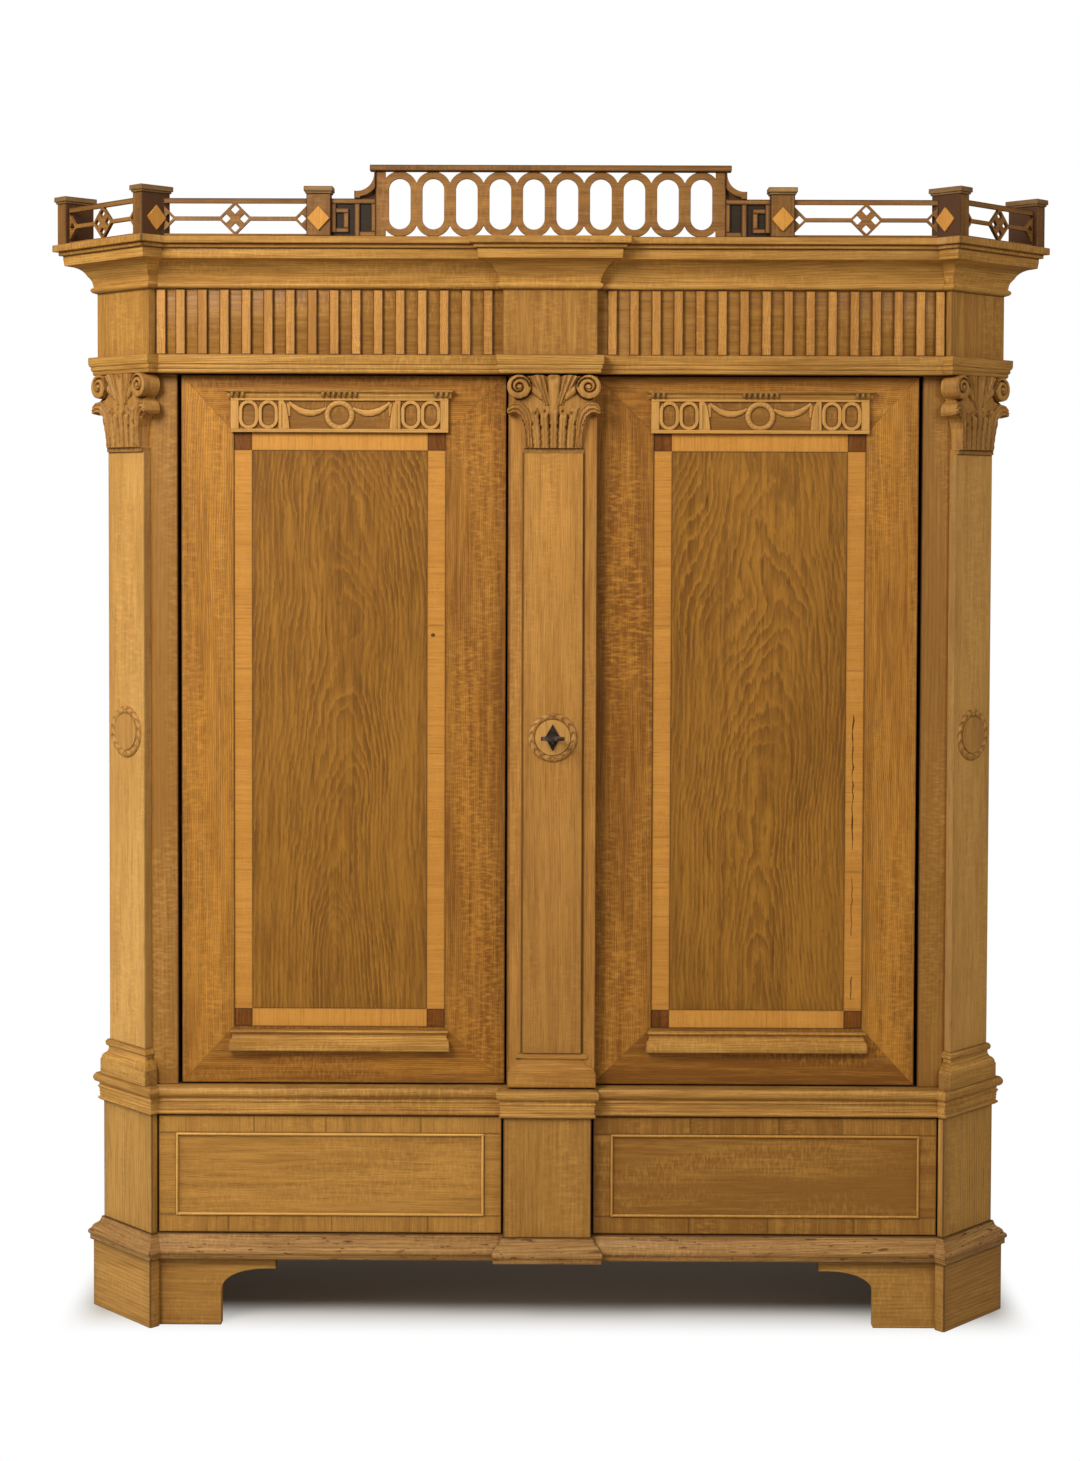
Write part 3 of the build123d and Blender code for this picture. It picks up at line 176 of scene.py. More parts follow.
def oak(name, pale, deep, heart=0.0, rings=120.0, ring_strength=0.4, flecks=0.35, edge=0.6, gloss=0.46, light=0.0, turn=None, worn=0.0):
    """Waxed oak: wandering rings, open pores, ray flecks, a thin dark line of old polish at the edges of each length, a
    soft painted shade up to 35 mm in from those edges, and old polish and painted shade in hollows and wherever a piece
    lays them on.
    heart is 1 where the board was sawn near the heart and shows loops, and 0 where its grain is straight.
    light is how much a pale line shows between the rings, and worn how many worm holes and dents there are.
    turn is set for a piece that has no grain of its own, and turns the object's axes to length, width, depth."""
    finish = Finish(name)
    if turn is None:
        place = finish.node("Attribute", {"attribute_name": "grain"}, output="Vector")
        size = finish.node("Attribute", {"attribute_name": "length_size"}, output="Vector")
        parts = [finish.node("SeparateXYZ", None, {0: size}, k) for k in range(3)]
        shift = parts[2] * 37.0
        tone = finish.node("Attribute", {"attribute_name": "tone"}, output="Fac")
        hollow = finish.node("Attribute", {"attribute_name": "hollow"}, output="Fac")
    else:
        place = finish.node("TexCoord", output="Object")
        place = finish.node("Mapping", None, {"Vector": place, "Rotation": turn})
        shift, tone, hollow = 3.0, 0.0, 0.0
    x, y, z = [finish.node("SeparateXYZ", None, {0: place}, k) for k in range(3)]

    drift = finish.noise(place, (0.9, 1.5, 1.5), 2.0, 0.5, shift) - 0.5
    swell = finish.noise(place, (2.4, 5.0, 5.0), 2.0, 0.5, shift) - 0.5
    ripple = finish.noise(place, (42.0, 70.0, 70.0), 3.0, 0.6, shift) - 0.5
    sideways = y + drift * (0.05 + 0.2 * heart) + 0.3 * (1 - heart)
    downwards = z + (x + 0.7) * (0.12 * heart) + swell * (0.03 + 0.13 * heart)
    ring = finish.node("Math", {"operation": "SQRT"}, {0: sideways * sideways + downwards * downwards})
    jag = finish.noise(place, (15.0, 180.0, 180.0), 3.0, 0.65, shift + 2.0) - 0.5
    ring = (ring + ripple * (0.003 + 0.005 * heart) + jag * (0.002 + 0.008 * heart)) * rings
    saw = finish.node("Math", {"operation": "FRACT"}, {0: ring})
    line = saw.step(0.35, 0.95) * (1 - saw.step(0.94, 1.0))
    strength = finish.noise(place, (3.0, 12.0, 12.0), 3.0, 0.55, shift).step(0.3, 0.7)
    line = line * (0.35 + strength * 0.65)

    streak = finish.noise(place, (14.0, 240.0, 240.0), 2.0, 0.6, shift)
    pores = streak.step(0.54, 0.7) * (0.45 + line * 0.55)
    fibre = finish.noise(place, (9.0, 170.0, 170.0), 4.0, 0.7, shift).step(0.39, 0.61)
    strand = finish.noise(place, (3.0, 52.0, 52.0), 3.0, 0.65, shift).step(0.36, 0.64)
    blotch = finish.noise(place, (1.9, 6.0, 6.0), 3.0, 0.55, shift).step(0.32, 0.7)
    ray = finish.noise(place, (190.0, 58.0, 58.0), 3.0, 0.6, shift).step(0.42, 0.7)
    ray = ray * finish.noise(place, (2.2, 14.0, 14.0), 2.0, 0.5, shift + 5.0).step(0.4, 0.62)

    mixed = finish.blend(blotch * 0.3 + strand * 0.3 + fibre * 0.4 + tone, colour(*deep), colour(*pale))
    dark = colour(*[c * k for c, k in zip(deep, (0.62, 0.55, 0.5))])
    mixed = finish.blend(line * ring_strength, mixed, dark)
    crest = saw.step(0.0, 0.12) * (1 - saw.step(0.14, 0.36)) * (0.2 + strength * 0.8)
    mixed = finish.blend(crest * light, mixed, colour(*[c * 1.15 for c in pale]))
    mixed = finish.blend(pores * 0.6, mixed, dark)
    mixed = finish.blend(ray * flecks, mixed, colour(*[min(1.0, c * 1.3) for c in pale]))
    grime = finish.noise(place, (34.0, 120.0, 120.0), 4.0, 0.7, shift + 9.0).step(0.5, 0.75)
    nick = finish.noise(place, [f - 110.0 * worn for f in (150.0, 260.0, 260.0)], 2.0, 0.5, shift + 3.0).step(0.68 - 0.06 * worn, 0.74 - 0.07 * worn)
    nick = nick * finish.noise(place, (5.0, 9.0, 9.0), 2.0, 0.5, shift + 7.0).step(0.5 - 0.2 * worn, 0.62 - 0.15 * worn)
    mixed = finish.blend(grime * (0.28 + 0.3 * worn) + nick * (0.6 + 0.4 * worn), mixed, dark)
    # The dark colour of old polish, which also serves as painted shade.
    wax_and_shade = colour(0.07, 0.026, 0.006)
    if turn is None:
        across_edge = parts[1] - finish.node("Math", {"operation": "ABSOLUTE"}, {0: y})
        end_edge = parts[0] - finish.node("Math", {"operation": "ABSOLUTE"}, {0: x})
        nearest = finish.node("Math", {"operation": "MINIMUM"}, {0: across_edge, 1: end_edge})
        soiled = (1 - (nearest + ripple * 0.002).step(0.0006, 0.003)) * edge
        # shaded is painted shade: a soft darkening up to 35 mm in from every edge of a length.
        shaded = (1 - (nearest + ripple * 0.01).step(0.0, 0.035)) * 0.22 * edge
        mixed = finish.blend(soiled + shaded, mixed, wax_and_shade)
        # Each point's own share of old polish and painted shade darkens it further.
        mixed = finish.blend(hollow, mixed, wax_and_shade)
    finish.shader.inputs["Specular IOR Level"].default_value = 0.22
    finish.join(finish.shader.inputs["Base Color"], mixed)
    finish.join(finish.shader.inputs["Roughness"], gloss + pores * 0.22 + blotch * 0.08)
    height = fibre * 0.25 - pores * 0.6 - line * 0.25
    bump = {"Strength": 0.35, "Distance": 0.0004, "Height": height}
    finish.join(finish.shader.inputs["Normal"], finish.node("Bump", None, bump))
    return finish.material


class Timber:
    """One piece of joinery, gathered from separate lengths of wood."""

    def __init__(self, name):
        self.name, self.mesh, self.lengths = name, bmesh.new(), []
        self.random = random.Random(name)
        self.mesh.verts.layers.float.new("hollow")

    def add(self, part, along, face=(0, -1, 0), tone=0.0, soften=0.8, place=None, sides=(1,), hollow=None):
        """Adds a closed length whose grain runs along one direction and whose show side faces another.
        It is drawn once for each of the sides: 1 is the right and -1 the left. The last argument says how much old
        polish and painted shade darken a point, unless the part already says so."""
        sharp = [edge for edge in part.edges if soften and edge.calc_face_angle(0) > 0.6]
        if sharp:
            bmesh.ops.bevel(part, geom=sharp, offset=soften, affect="EDGES", segments=1, profile=0.5, material=-1)
        if hollow is not None:
            depth = part.verts.layers.float.get("hollow") or part.verts.layers.float.new("hollow")
            for vertex in part.verts:
                vertex[depth] = hollow(vertex.co)
        if place is not None:
            bmesh.ops.transform(part, matrix=place, verts=part.verts)
        turned = place.to_3x3() if place is not None else Matrix.Identity(3)
        drawn = bpy.data.meshes.new("length")
        for side in sides:
            part.to_mesh(drawn)
            first = len(self.mesh.verts)
            self.mesh.from_mesh(drawn)
            self.mesh.verts.ensure_lookup_table()
            fresh = self.mesh.verts[first:]
            if side < 0:
                bmesh.ops.scale(self.mesh, vec=(-1, 1, 1), verts=fresh)
                bmesh.ops.reverse_faces(self.mesh, faces=list({f for v in fresh for f in v.link_faces}))
            flip = Vector((side, 1, 1))
            axes = [(turned @ Vector(axis)) * flip for axis in (along, face)]
            shade = tone + self.random.uniform(-0.06, 0.06)
            self.lengths.append((first, len(self.mesh.verts), *axes, shade))
        bpy.data.meshes.remove(drawn)
        part.free()
        return self

    def finish(self, body, slot, material, *nodes):
        """Moves the piece to its place in metres, writes its grain, hangs it under its body and hides the nodes that it
        replaces.
        """
        data = bpy.data.meshes.new(self.name)
        grain, size, tone = [], [], []
        self.mesh.verts.ensure_lookup_table()
        for first, last, along, face, shade in self.lengths:
            along = along.normalized()
            across = face.cross(along).normalized()
            axes = Matrix((along, across, along.cross(across)))
            points = [axes @ vertex.co / 1000 for vertex in self.mesh.verts[first:last]]
            low = Vector([min(point[k] for point in points) for k in range(3)])
            high = Vector([max(point[k] for point in points) for k in range(3)])
            middle, half = (low + high) / 2, (high - low) / 2
            seed = self.random.random()
            for point in points:
                grain.extend(point - middle)
                size.extend((half.x, half.y, seed))
                tone.append(shade)
        bmesh.ops.translate(self.mesh, vec=(0, -middle_y, 0), verts=self.mesh.verts)
        bmesh.ops.scale(self.mesh, vec=(0.001, 0.001, 0.001), verts=self.mesh.verts)
        self.mesh.to_mesh(data)
        self.mesh.free()
        for name, kind, key, values in (("grain", "FLOAT_VECTOR", "vector", grain), ("tone", "FLOAT", "value", tone),
                                        ("length_size", "FLOAT_VECTOR", "vector", size)):
            data.attributes.new(name, kind, "POINT").data.foreach_set(key, values)
        data.shade_smooth()
        data.set_sharp_from_angle(angle=math.radians(34))
        data.materials.append(material)
        piece = bpy.data.objects.new(self.name, data)
        bpy.context.scene.collection.objects.link(piece)
        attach(piece, body)
        if nodes:
            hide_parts(*nodes)
        return piece


def extruded(part, face, vector):
    """Extrudes a face along a vector and leaves a closed solid."""
    made = bmesh.ops.extrude_face_region(part, geom=[face] if isinstance(face, bmesh.types.BMFace) else list(face))
    moved = [item for item in made["geom"] if isinstance(item, bmesh.types.BMVert)]
    bmesh.ops.translate(part, vec=vector, verts=moved)
    bmesh.ops.recalc_face_normals(part, faces=part.faces)
    return part


def board(points, y_range):
    """A board with the given outline in front view, between two places in depth."""
    part = bmesh.new()
    face = part.faces.new([part.verts.new((x, y_range[1], z)) for x, z in points])
    return extruded(part, face, (0, y_range[0] - y_range[1], 0))


def slab(points, z_range):
    """A board with the given outline in plan, between two heights."""
    part = bmesh.new()
    face = part.faces.new([part.verts.new((x, y, z_range[0])) for x, y in points])
    return extruded(part, face, (0, 0, z_range[1] - z_range[0]))


def batten(x_range, y_range, z_range):
    """A squared length."""
    part = bmesh.new()
    bmesh.ops.create_cube(part, size=1.0)
    spans = (x_range, y_range, z_range)
    bmesh.ops.scale(part, vec=[high - low for low, high in spans], verts=part.verts)
    bmesh.ops.translate(part, vec=[(high + low) / 2 for low, high in spans], verts=part.verts)
    return part


def moulding(start, end, levels, depth=20.0):
    """A mitred length between two corners of the plan. levels are pairs of height and projection."""
    part = bmesh.new()
    section = [(z, p) for z, p in levels] + [(levels[-1][0], -depth), (levels[0][0], -depth)]
    face = part.faces.new([part.verts.new((*start(p), z)) for z, p in section])
    made = bmesh.ops.extrude_face_region(part, geom=[face])
    fresh = [item for item in made["geom"] if isinstance(item, bmesh.types.BMVert)]
    places = {tuple(round(c, 3) for c in Vector((*start(p), z))): (*end(p), z) for z, p in section}
    for vertex in fresh:
        vertex.co = places[tuple(round(c, 3) for c in vertex.co)]
    bmesh.ops.recalc_face_normals(part, faces=part.faces)
    return part


def run_axes(start, end):
    """The direction of a run and the way its face looks."""
    (x0, y0), (x1, y1) = start(0), end(0)
    along = Vector((x1 - x0, y1 - y0, 0)).normalized()
    return along, Vector((along.y, -along.x, 0)) * -1


def all_round(timber, levels, runs=None, tone=0.0, soften=0.5, along=None):
    """Adds a moulding round the sides, the canted corners and the front, mitred at every corner."""
    for start, end in runs or side_runs + cant_runs + front_runs + return_runs:
        way, face = run_axes(start, end)
        timber.add(moulding(start, end, levels), along or way, face, tone, soften, sides=(1, -1))
    if runs is None or return_runs[0] in runs:
        start, end = centre_corner, left_of(centre_corner)
        timber.add(moulding(start, end, levels), along or (1, 0, 0), (0, -1, 0), tone, soften)


def bracket(arch=(128.0, 67.0, 220.0, 116.0), height=139.0, reach=240.0):
    """The outline of a bracket foot, from its outer end to where the apron runs out."""
    foot, upright, arch_end, apron = arch
    points = [(0, 0), (foot, 0), (foot, upright)]
    for k in range(1, 12):
        turn = math.pi / 2 * k / 12
        points.append((arch_end - (arch_end - foot) * math.cos(turn), upright + (apron - upright) * math.sin(turn) ** 0.8))
    return points + [(arch_end, apron), (reach, apron), (reach, height), (0, height)]


honey = oak("waxed_oak", (0.51, 0.268, 0.062), (0.3, 0.135, 0.0245))
foot_levels = [(0, 16), (139, 16)]
feet = Timber("foot_blocks")
for start, end in cant_runs:
    way, face = run_axes(start, end)
    feet.add(moulding(start, end, foot_levels), way, face, soften=1.5, sides=(1, -1), tone=0.05)
outer_x = back_end(16)[0]
feet.add(batten((outer_x - 60, outer_x), (body_depth - 60, body_depth), (0, 139)), (0, 0, 1), (1, 0, 0), sides=(1, -1))
feet.finish("carcass", "oak", honey, "feet_blocks")

brackets = Timber("front_brackets")
start_x, start_y = front_step(7)
outline = [(start_x - x, z) for x, z in bracket()]
brackets.add(board(outline, (start_y, start_y + 24)), (1, 0, 0), soften=1.2, sides=(1, -1), tone=-0.05)
brackets.finish("carcass", "oak", honey, "front_bracket_feet")

side_brackets = Timber("side_brackets")
outer_x, start_y = side_corner(7)
rear_y = body_depth - 60
turn = Matrix(((0, -1, 0, outer_x), (1, 0, 0, 0), (0, 0, 1, 0), (0, 0, 0, 1)))
for start, way in ((start_y, 1), (rear_y, -1)):
    part = board([(start + x * way, z) for x, z in bracket()], (0, 24))
    cut = {"plane_co": ((start_y + rear_y) / 2, 0, 0), "plane_no": (way, 0, 0), "clear_outer": True}
    bmesh.ops.bisect_plane(part, geom=part.verts[:] + part.edges[:] + part.faces[:], **cut)
    bmesh.ops.holes_fill(part, edges=[edge for edge in part.edges if edge.is_boundary])
    bmesh.ops.recalc_face_normals(part, faces=part.faces)
    side_brackets.add(part, (1, 0, 0), (0, -1, 0), soften=1.2, place=turn, sides=(1, -1))
side_brackets.finish("carcass", "oak", honey, "side_bracket_feet")

# Plinth moulding: a deep ogee cap over the feet, planed in lengths and mitred round every corner. It
# hides the joint between the feet and the base, and its bottom edge is worn by brooms.


def drawn(bottom, height, projection, points, steps=5):
    """Turns shares of height and projection into levels. A third share bows the line up to its point."""
    levels = []
    for z, p, *bow in points:
        if bow:
            (z0, p0), bend = levels[-1], bow[0]
            z1, p1 = bottom + height * z, projection * p
            for k in range(1, steps):
                t = k / steps
                lift = 4 * bend * t * (1 - t)
                levels.append((z0 + (z1 - z0) * t - (p1 - p0) * lift, p0 + (p1 - p0) * t + (z1 - z0) * lift))
        levels.append((bottom + height * z, projection * p))
    return levels


plinth_points = [(0, 0.87), (0.23, 0.87), (0.25, 0.96), (0.36, 1, 0.1), (0.46, 0.88, 0.1), (0.48, 0.8), (0.72, 0.44, 0.12)]
plinth_points += [(0.93, 0.2, -0.12), (0.94, 0.16), (1, 0.16)]
moulded = oak("moulded_oak", (0.62, 0.332, 0.077), (0.31, 0.139, 0.0245), rings=200.0, ring_strength=0.5, heart=0.15, edge=0.35)
plinth = Timber("plinth_cap")
all_round(plinth, drawn(139, 48, 24, plinth_points))
worn_oak = oak("worn_oak", (0.5, 0.275, 0.085), (0.235, 0.108, 0.028), heart=0.25, rings=200.0, ring_strength=0.55, worn=1.0)
plinth.finish("carcass", "oak_moulding", worn_oak, "plinth_moulding")

# Base: corner blocks and centre block with upright grain between the drawers, plain sides, and a thin
# board under it. The blocks are glued up before the mouldings are mitred round them.
base_levels = [(187, 0), (432, 0)]
blocks = Timber("base_corner_blocks")
all_round(blocks, base_levels, cant_runs, along=(0, 0, 1), tone=0.35, soften=1.2)
all_round(blocks, base_levels, return_runs, along=(0, 0, 1), tone=-0.1, soften=1.2)
blocks.finish("carcass", "oak", honey, "base_blocks")
base_sides = Timber("base_sides")
all_round(base_sides, base_levels, side_runs)
base_sides.finish("carcass", "oak", honey, "base_side_panels")

# Drawers: a pine box behind an oak front, whose level-grained field lies in short cross banding with a
# glued cock bead between them. The front drops into the base with a hand's play of three millimetres.
drawer_x, drawer_z = (94, 792), (190, 429)


def inset(span, width):
    return span[0] + width, span[1] - width


def mitred(timber, outer, inner, y_range, soften=0.5, sides=(1,), tones=(0, 0, 0, 0), hollow=None):
    """Adds the four mitred lengths between two upright rectangles: bottom, right, top, left."""
    corners = [[(x0, z0), (x1, z0), (x1, z1), (x0, z1)] for (x0, x1), (z0, z1) in (outer, inner)]
    for k, along in enumerate(((1, 0, 0), (0, 0, 1), (1, 0, 0), (0, 0, 1))):
        n = (k + 1) % 4
        outline = [corners[0][k], corners[0][n], corners[1][n], corners[1][k]]
        timber.add(board(outline, y_range), along, tone=tones[k], soften=soften, sides=sides, hollow=hollow)


def banded(timber, x_range, z_range, width, y_range, lengths, side, tone=0.2):
    """Adds cross banding round a rectangle: short lengths side by side, with their grain across the band."""
    (x0, x1), (z0, z1) = x_range, z_range
    for low, high, level in ((x0, x1, z0), (x0, x1, z1 - width)):
        cuts = [low] + sorted(low + (high - low) * (k + timber.random.uniform(-0.2, 0.2)) / lengths for k in range(1, lengths)) + [high]
        for a, b in zip(cuts, cuts[1:]):
            part = batten((a, b), y_range, (level, level + width))
            timber.add(part, (0, 0, 1), tone=tone + timber.random.uniform(-0.2, 0.2), soften=0.25, sides=(side,))
    for edge in (x0, x1 - width):
        part = batten((edge, edge + width), y_range, (z0 + width, z1 - width))
        timber.add(part, (1, 0, 0), tone=tone, soften=0.25, sides=(side,))


level_oak = oak("level_oak", (0.5, 0.25, 0.052), (0.26, 0.113, 0.0185), heart=0.35, rings=300.0, ring_strength=0.4, edge=0.45)
# bead_oak is paler than the drawer front: a painted highlight along the raised bead.
bead_oak = oak("bead_oak", (0.68, 0.38, 0.1), (0.45, 0.215, 0.042), rings=200.0, ring_strength=0.2, edge=0.0)
for name, side, tone in (("left", -1, 0.14), ("right", 1, -0.42)):
    front = Timber(name + "_drawer_face")
    bead, bead_inside = [(inset(drawer_x, w), inset(drawer_z, w)) for w in (35, 40)]
    banded(front, drawer_x, drawer_z, 35, (10, 14), 4, side, tone + 0.1)
    front.add(batten(bead[0], (10.3, 14), bead[1]), (1, 0, 0), tone=tone, soften=0.2, sides=(side,))
    front.add(batten(drawer_x, (14, 32), drawer_z), (1, 0, 0), sides=(side,))
    front.finish(name + "_drawer", "oak", level_oak, name + "_drawer_front")
    cock = Timber(name + "_drawer_bead")
    # Painted shade darkens the foot of the bead on both sides.
    mitred(cock, bead, bead_inside, (5.6, 10.4), 1.6, (side,), [tone * 1.3 + 0.1] * 4, lambda co: 0.9 * (co.y > 9))
    cock.finish(name + "_drawer", "oak", bead_oak)

# Waist moulding: the carcass stands on it, and it can be lifted off the base for moving. It has a bead
# below, a reeded band and a bold rounded edge above.
waist_points = [(0, 0.3), (0.03, 0.46), (0.14, 0.5, 0.35), (0.16, 0.36), (0.24, 0.46), (0.26, 0.38), (0.34, 0.5), (0.36, 0.42)]
waist_points += [(0.44, 0.52), (0.46, 0.46), (0.53, 0.62, 0.3), (0.55, 0.5), (0.66, 0.72, -0.3), (0.68, 0.9), (0.95, 0.96, 0.2), (1, 0.76)]
waist = Timber("waist_rail")
all_round(waist, drawn(432, 58, 14, waist_points))
waist.finish("carcass", "oak_moulding", moulded, "waist_moulding")

# Carcass: oak posts behind the canted corners, framed sides with a sunk figured field, and pine boards
# inside. The inside is planed and left bare.
line, inner_line, side_x = 779.5442, 739.9462, 901.9153
door_zone = (490, 1938)
posts = Timber("corner_stiles")
stile = [(line + 24 - 49.5, 24), (line + 24, 24), (line + 54, 54), (line + 24 - 49.5, 54)]
posts.add(slab(stile, door_zone), (0, 0, 1), sides=(1, -1), tone=-0.55)
post = [(line + 54, 54), (side_x, side_x - line), (side_x, side_x - inner_line), (inner_line + 54, 54)]
posts.add(slab(post, door_zone), (0, 0, 1), (1, -1, 0), sides=(1, -1))
posts.finish("carcass", "oak", honey, "corner_posts")
frames = Timber("side_framing")
side_y = (side_x - inner_line, body_depth)
quarter = Matrix(((0, -1, 0, side_x), (1, 0, 0, 0), (0, 0, 1, 0), (0, 0, 0, 1)))
for x_range in ((side_y[0], side_y[0] + 80), (side_y[1] - 80, side_y[1])):
    frames.add(batten(x_range, (0, 20), door_zone), (0, 0, 1), place=quarter, sides=(1, -1))
for z_range in ((490, 590), (1838, 1938)):
    frames.add(batten(inset(side_y, 80), (0, 20), z_range), (1, 0, 0), place=quarter, sides=(1, -1))
frames.finish("carcass", "oak", honey, "side_frames")
figured = oak("figured_oak", (0.335, 0.147, 0.0175), (0.13, 0.046, 0.0048), heart=1.0, rings=112.0, ring_strength=0.36, flecks=0.0, light=0.75)
fields = Timber("side_panels")
fields.add(batten(inset(side_y, 80), (5, 17), (590, 1838)), (0, 0, 1), place=quarter, sides=(1, -1))
fields.finish("carcass", "oak_figured", figured, "side_fields")
level = (0.0, 0.0, 0.0)
upright = (0.0, math.pi / 2, 0.0)
lengthwise = (0.0, 0.0, math.pi / 2)
for direction, turn, names in (
    ("level", level, ("base_bottom_board", "base_back_board", "cabinet_floor", "ceiling_board", "shelves", "shelf_battens",
                      "left_drawer_box", "right_drawer_box", "gallery_key_backings")),
    ("upright", upright, ("back_boards",)),
    ("lengthwise", lengthwise, ("drawer_runners",)),
):
    bare = oak("bare_pine_" + direction, (0.5, 0.33, 0.15), (0.36, 0.2, 0.075), heart=0.4, rings=160.0, flecks=0.0, gloss=0.62, turn=turn)
    for node in names:
        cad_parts[node].data.materials.clear()
        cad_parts[node].data.materials.append(bare)

# Canted pilasters: a plain quarter-sawn shaft on a moulded base, set flat on each canted corner.
pale = oak("pale_oak", (0.61, 0.33, 0.086), (0.4, 0.186, 0.039), rings=200.0, ring_strength=0.22, flecks=0.35, edge=0.35)
shafts = Timber("corner_shafts")
shafts.add(batten((-63, 63), (0, 18), (563, 1780)), (0, 0, 1), place=cant_place, sides=(1, -1), soften=1.0, tone=0.2)
shafts.finish("carcass", "oak_light", pale, "corner_pilasters")
base_points = [(0, 1), (0.43, 1), (0.45, 0.9), (0.5, 0.88), (0.62, 0.42, 0.1), (0.8, 0.12, -0.12), (0.82, 0.3), (0.9, 0.42, 0.2)]
base_points += [(0.97, 0.34, 0.2), (1, 0.28)]


def stacked(rows, back):
    """A solid of level rings. Rows hold height, half width and front stand."""
    part = bmesh.new()
    z, w, d = rows[0]
    face = part.faces.new([part.verts.new(point) for point in ((-w, back, z), (w, back, z), (w, -d, z), (-w, -d, z))])
    for z, w, d in rows[1:]:
        made = bmesh.ops.extrude_face_region(part, geom=[face])["geom"]
        face = next(item for item in made if isinstance(item, bmesh.types.BMFace))
        for vertex in face.verts:
            vertex.co = (math.copysign(w, vertex.co.x), back if vertex.co.y > back - 0.01 else -d, z)
    bmesh.ops.recalc_face_normals(part, faces=part.faces)
    return part


def pilaster_base(half, spread, stand, z_range, back):
    levels = drawn(z_range[0], z_range[1] - z_range[0], spread, base_points)
    return stacked([(z, half + p, stand * p / spread) for z, p in levels], back)


bases = Timber("corner_pilaster_bases")
bases.add(pilaster_base(63, 17, 12, (490, 563), 18), (1, 0, 0), place=cant_place, sides=(1, -1), soften=0.4)
bases.finish("carcass", "oak_moulding", moulded, "pilaster_bases")

# Doors: mitred frames round a figured field, with light cross banding and dark corner squares let in
# round it. The frames are quarter-sawn oak, and the fields one book-wide figured sheet each.
hinge_edge, leaf_z, leaf_y = 746.0442, (494, 1935), (24, 54)
edges = {"left": 88.0, "right": -84.0}
field_x, field_z = (211.0, 639.0442), (610, 1820)
banding = oak("banding_oak", (0.595, 0.272, 0.048), (0.46, 0.193, 0.029), rings=160.0, ring_strength=0.14, heart=0.3, flecks=0.2, edge=0.22)
squares = oak("dark_squares", (0.27, 0.085, 0.0068), (0.11, 0.032, 0.0025), heart=0.8, rings=200.0, ring_strength=0.7, edge=0.8)
stiles = oak("door_oak", (0.5, 0.222, 0.032), (0.21, 0.077, 0.0095), heart=0.2, rings=230.0, ring_strength=0.65, flecks=0.48)
for name, side in (("left", -1), ("right", 1)):
    body = name + "_door"
    frame_piece = Timber(name + "_door_framing")
    inner_edge = edges["left"] if side < 0 else 92.0
    mitred(frame_piece, ((inner_edge, hinge_edge), leaf_z), (field_x, field_z), leaf_y, 0.6, (side,), (-0.3, 0.15, -0.1, -0.22))
    if side > 0:
        frame_piece.add(batten((-84, 92), leaf_y, leaf_z), (0, 0, 1), soften=0.6)
    frame_piece.finish(body, "oak", stiles, name + "_door_frame")
    bands = Timber(name + "_door_bands")
    (x0, x1), (z0, z1) = field_x, field_z
    band_y = (26, 29)
    for low in (x0, x1 - 36):
        cuts = [z0 + 36, 1000, 1430, z1 - 36] if low == x0 else [z0 + 36, 930, 1340, z1 - 36]
        for a, b in zip(cuts, cuts[1:]):
            bands.add(batten((low, low + 36), band_y, (a, b)), (1, 0, 0), soften=0.2, sides=(side,), tone=-0.02)
    for low in (z0, z1 - 36):
        bands.add(batten((x0 + 36, x1 - 36), band_y, (low, low + 36)), (0, 0, 1), soften=0.2, sides=(side,), tone=0.2)
    bands = bands.finish(body, "oak_light", banding, name + "_door_banding")
    corners = Timber(name + "_door_squares")
    for low in (x0, x1 - 36):
        for level_z in (z0, z1 - 36):
            corners.add(batten((low, low + 36), band_y, (level_z, level_z + 36)), (0, 0, 1), soften=0.2, sides=(side,))
    if side > 0:
        for low, count, wide in ((668, 5, 2.2), (800, 11, 2.0), (976, 24, 3.2)):
            ragged = [(617 + corners.random.uniform(-1.5, 1.5), low + 12 * k) for k in range(count)]
            back_again = [(x + corners.random.uniform(0.5, wide), height) for x, height in reversed(ragged)]
            corners.add(board(ragged + back_again, (25.8, 26.5)), (0, 0, 1), soften=0, hollow=lambda co: 0.9)
    else:
        knot = [(235.7 + 4.5 * math.cos(0.7 * k), 1410 + 3.8 * math.sin(0.7 * k)) for k in range(9)]
        corners.add(board(knot, (25.8, 26.5)), (0, 0, 1), soften=0, sides=(side,), hollow=lambda co: 0.5)
    corners = corners.finish(body, "oak_light", squares)
    field = Timber(name + "_door_panel")
    field.add(batten(inset(field_x, 36), band_y, inset(field_z, 36)), (0, 0, 1), soften=0.2, sides=(side,), tone=0.1)
    field.add(batten(field_x, (29, 45), field_z), (0, 0, 1), sides=(side,))
    field.finish(body, "oak_figured", figured, name + "_door_field")

# Entablature: architrave, a frieze with a cross-grained ground and light upright strips glued on it, and
# a cornice run from thick oak, all mitred round the corners, with a loose top board over them.
architrave_points = [(0, 0.6), (0.22, 0.66, 0.1), (0.24, 0.76), (0.46, 0.8, 0.1), (0.48, 0.88), (0.6, 0.96, 0.14), (0.63, 1)]
architrave_points += [(0.95, 1), (1, 0.95, 0.2)]
architrave = Timber("architrave")
all_round(architrave, drawn(1938, 37, 20, architrave_points))
architrave.finish("carcass", "oak_moulding", moulded, "architrave_moulding")
frieze_levels = [(1975, 6), (2106, 6)]
ground = Timber("frieze_ground")
all_round(ground, frieze_levels, side_runs + cant_runs, along=(0, 0, 1), tone=0.05)
all_round(ground, frieze_levels, return_runs, along=(0, 0, 1), tone=-0.12)
ground.finish("carcass", "oak", level_oak, "frieze_boards")
recess = Timber("frieze_recesses")
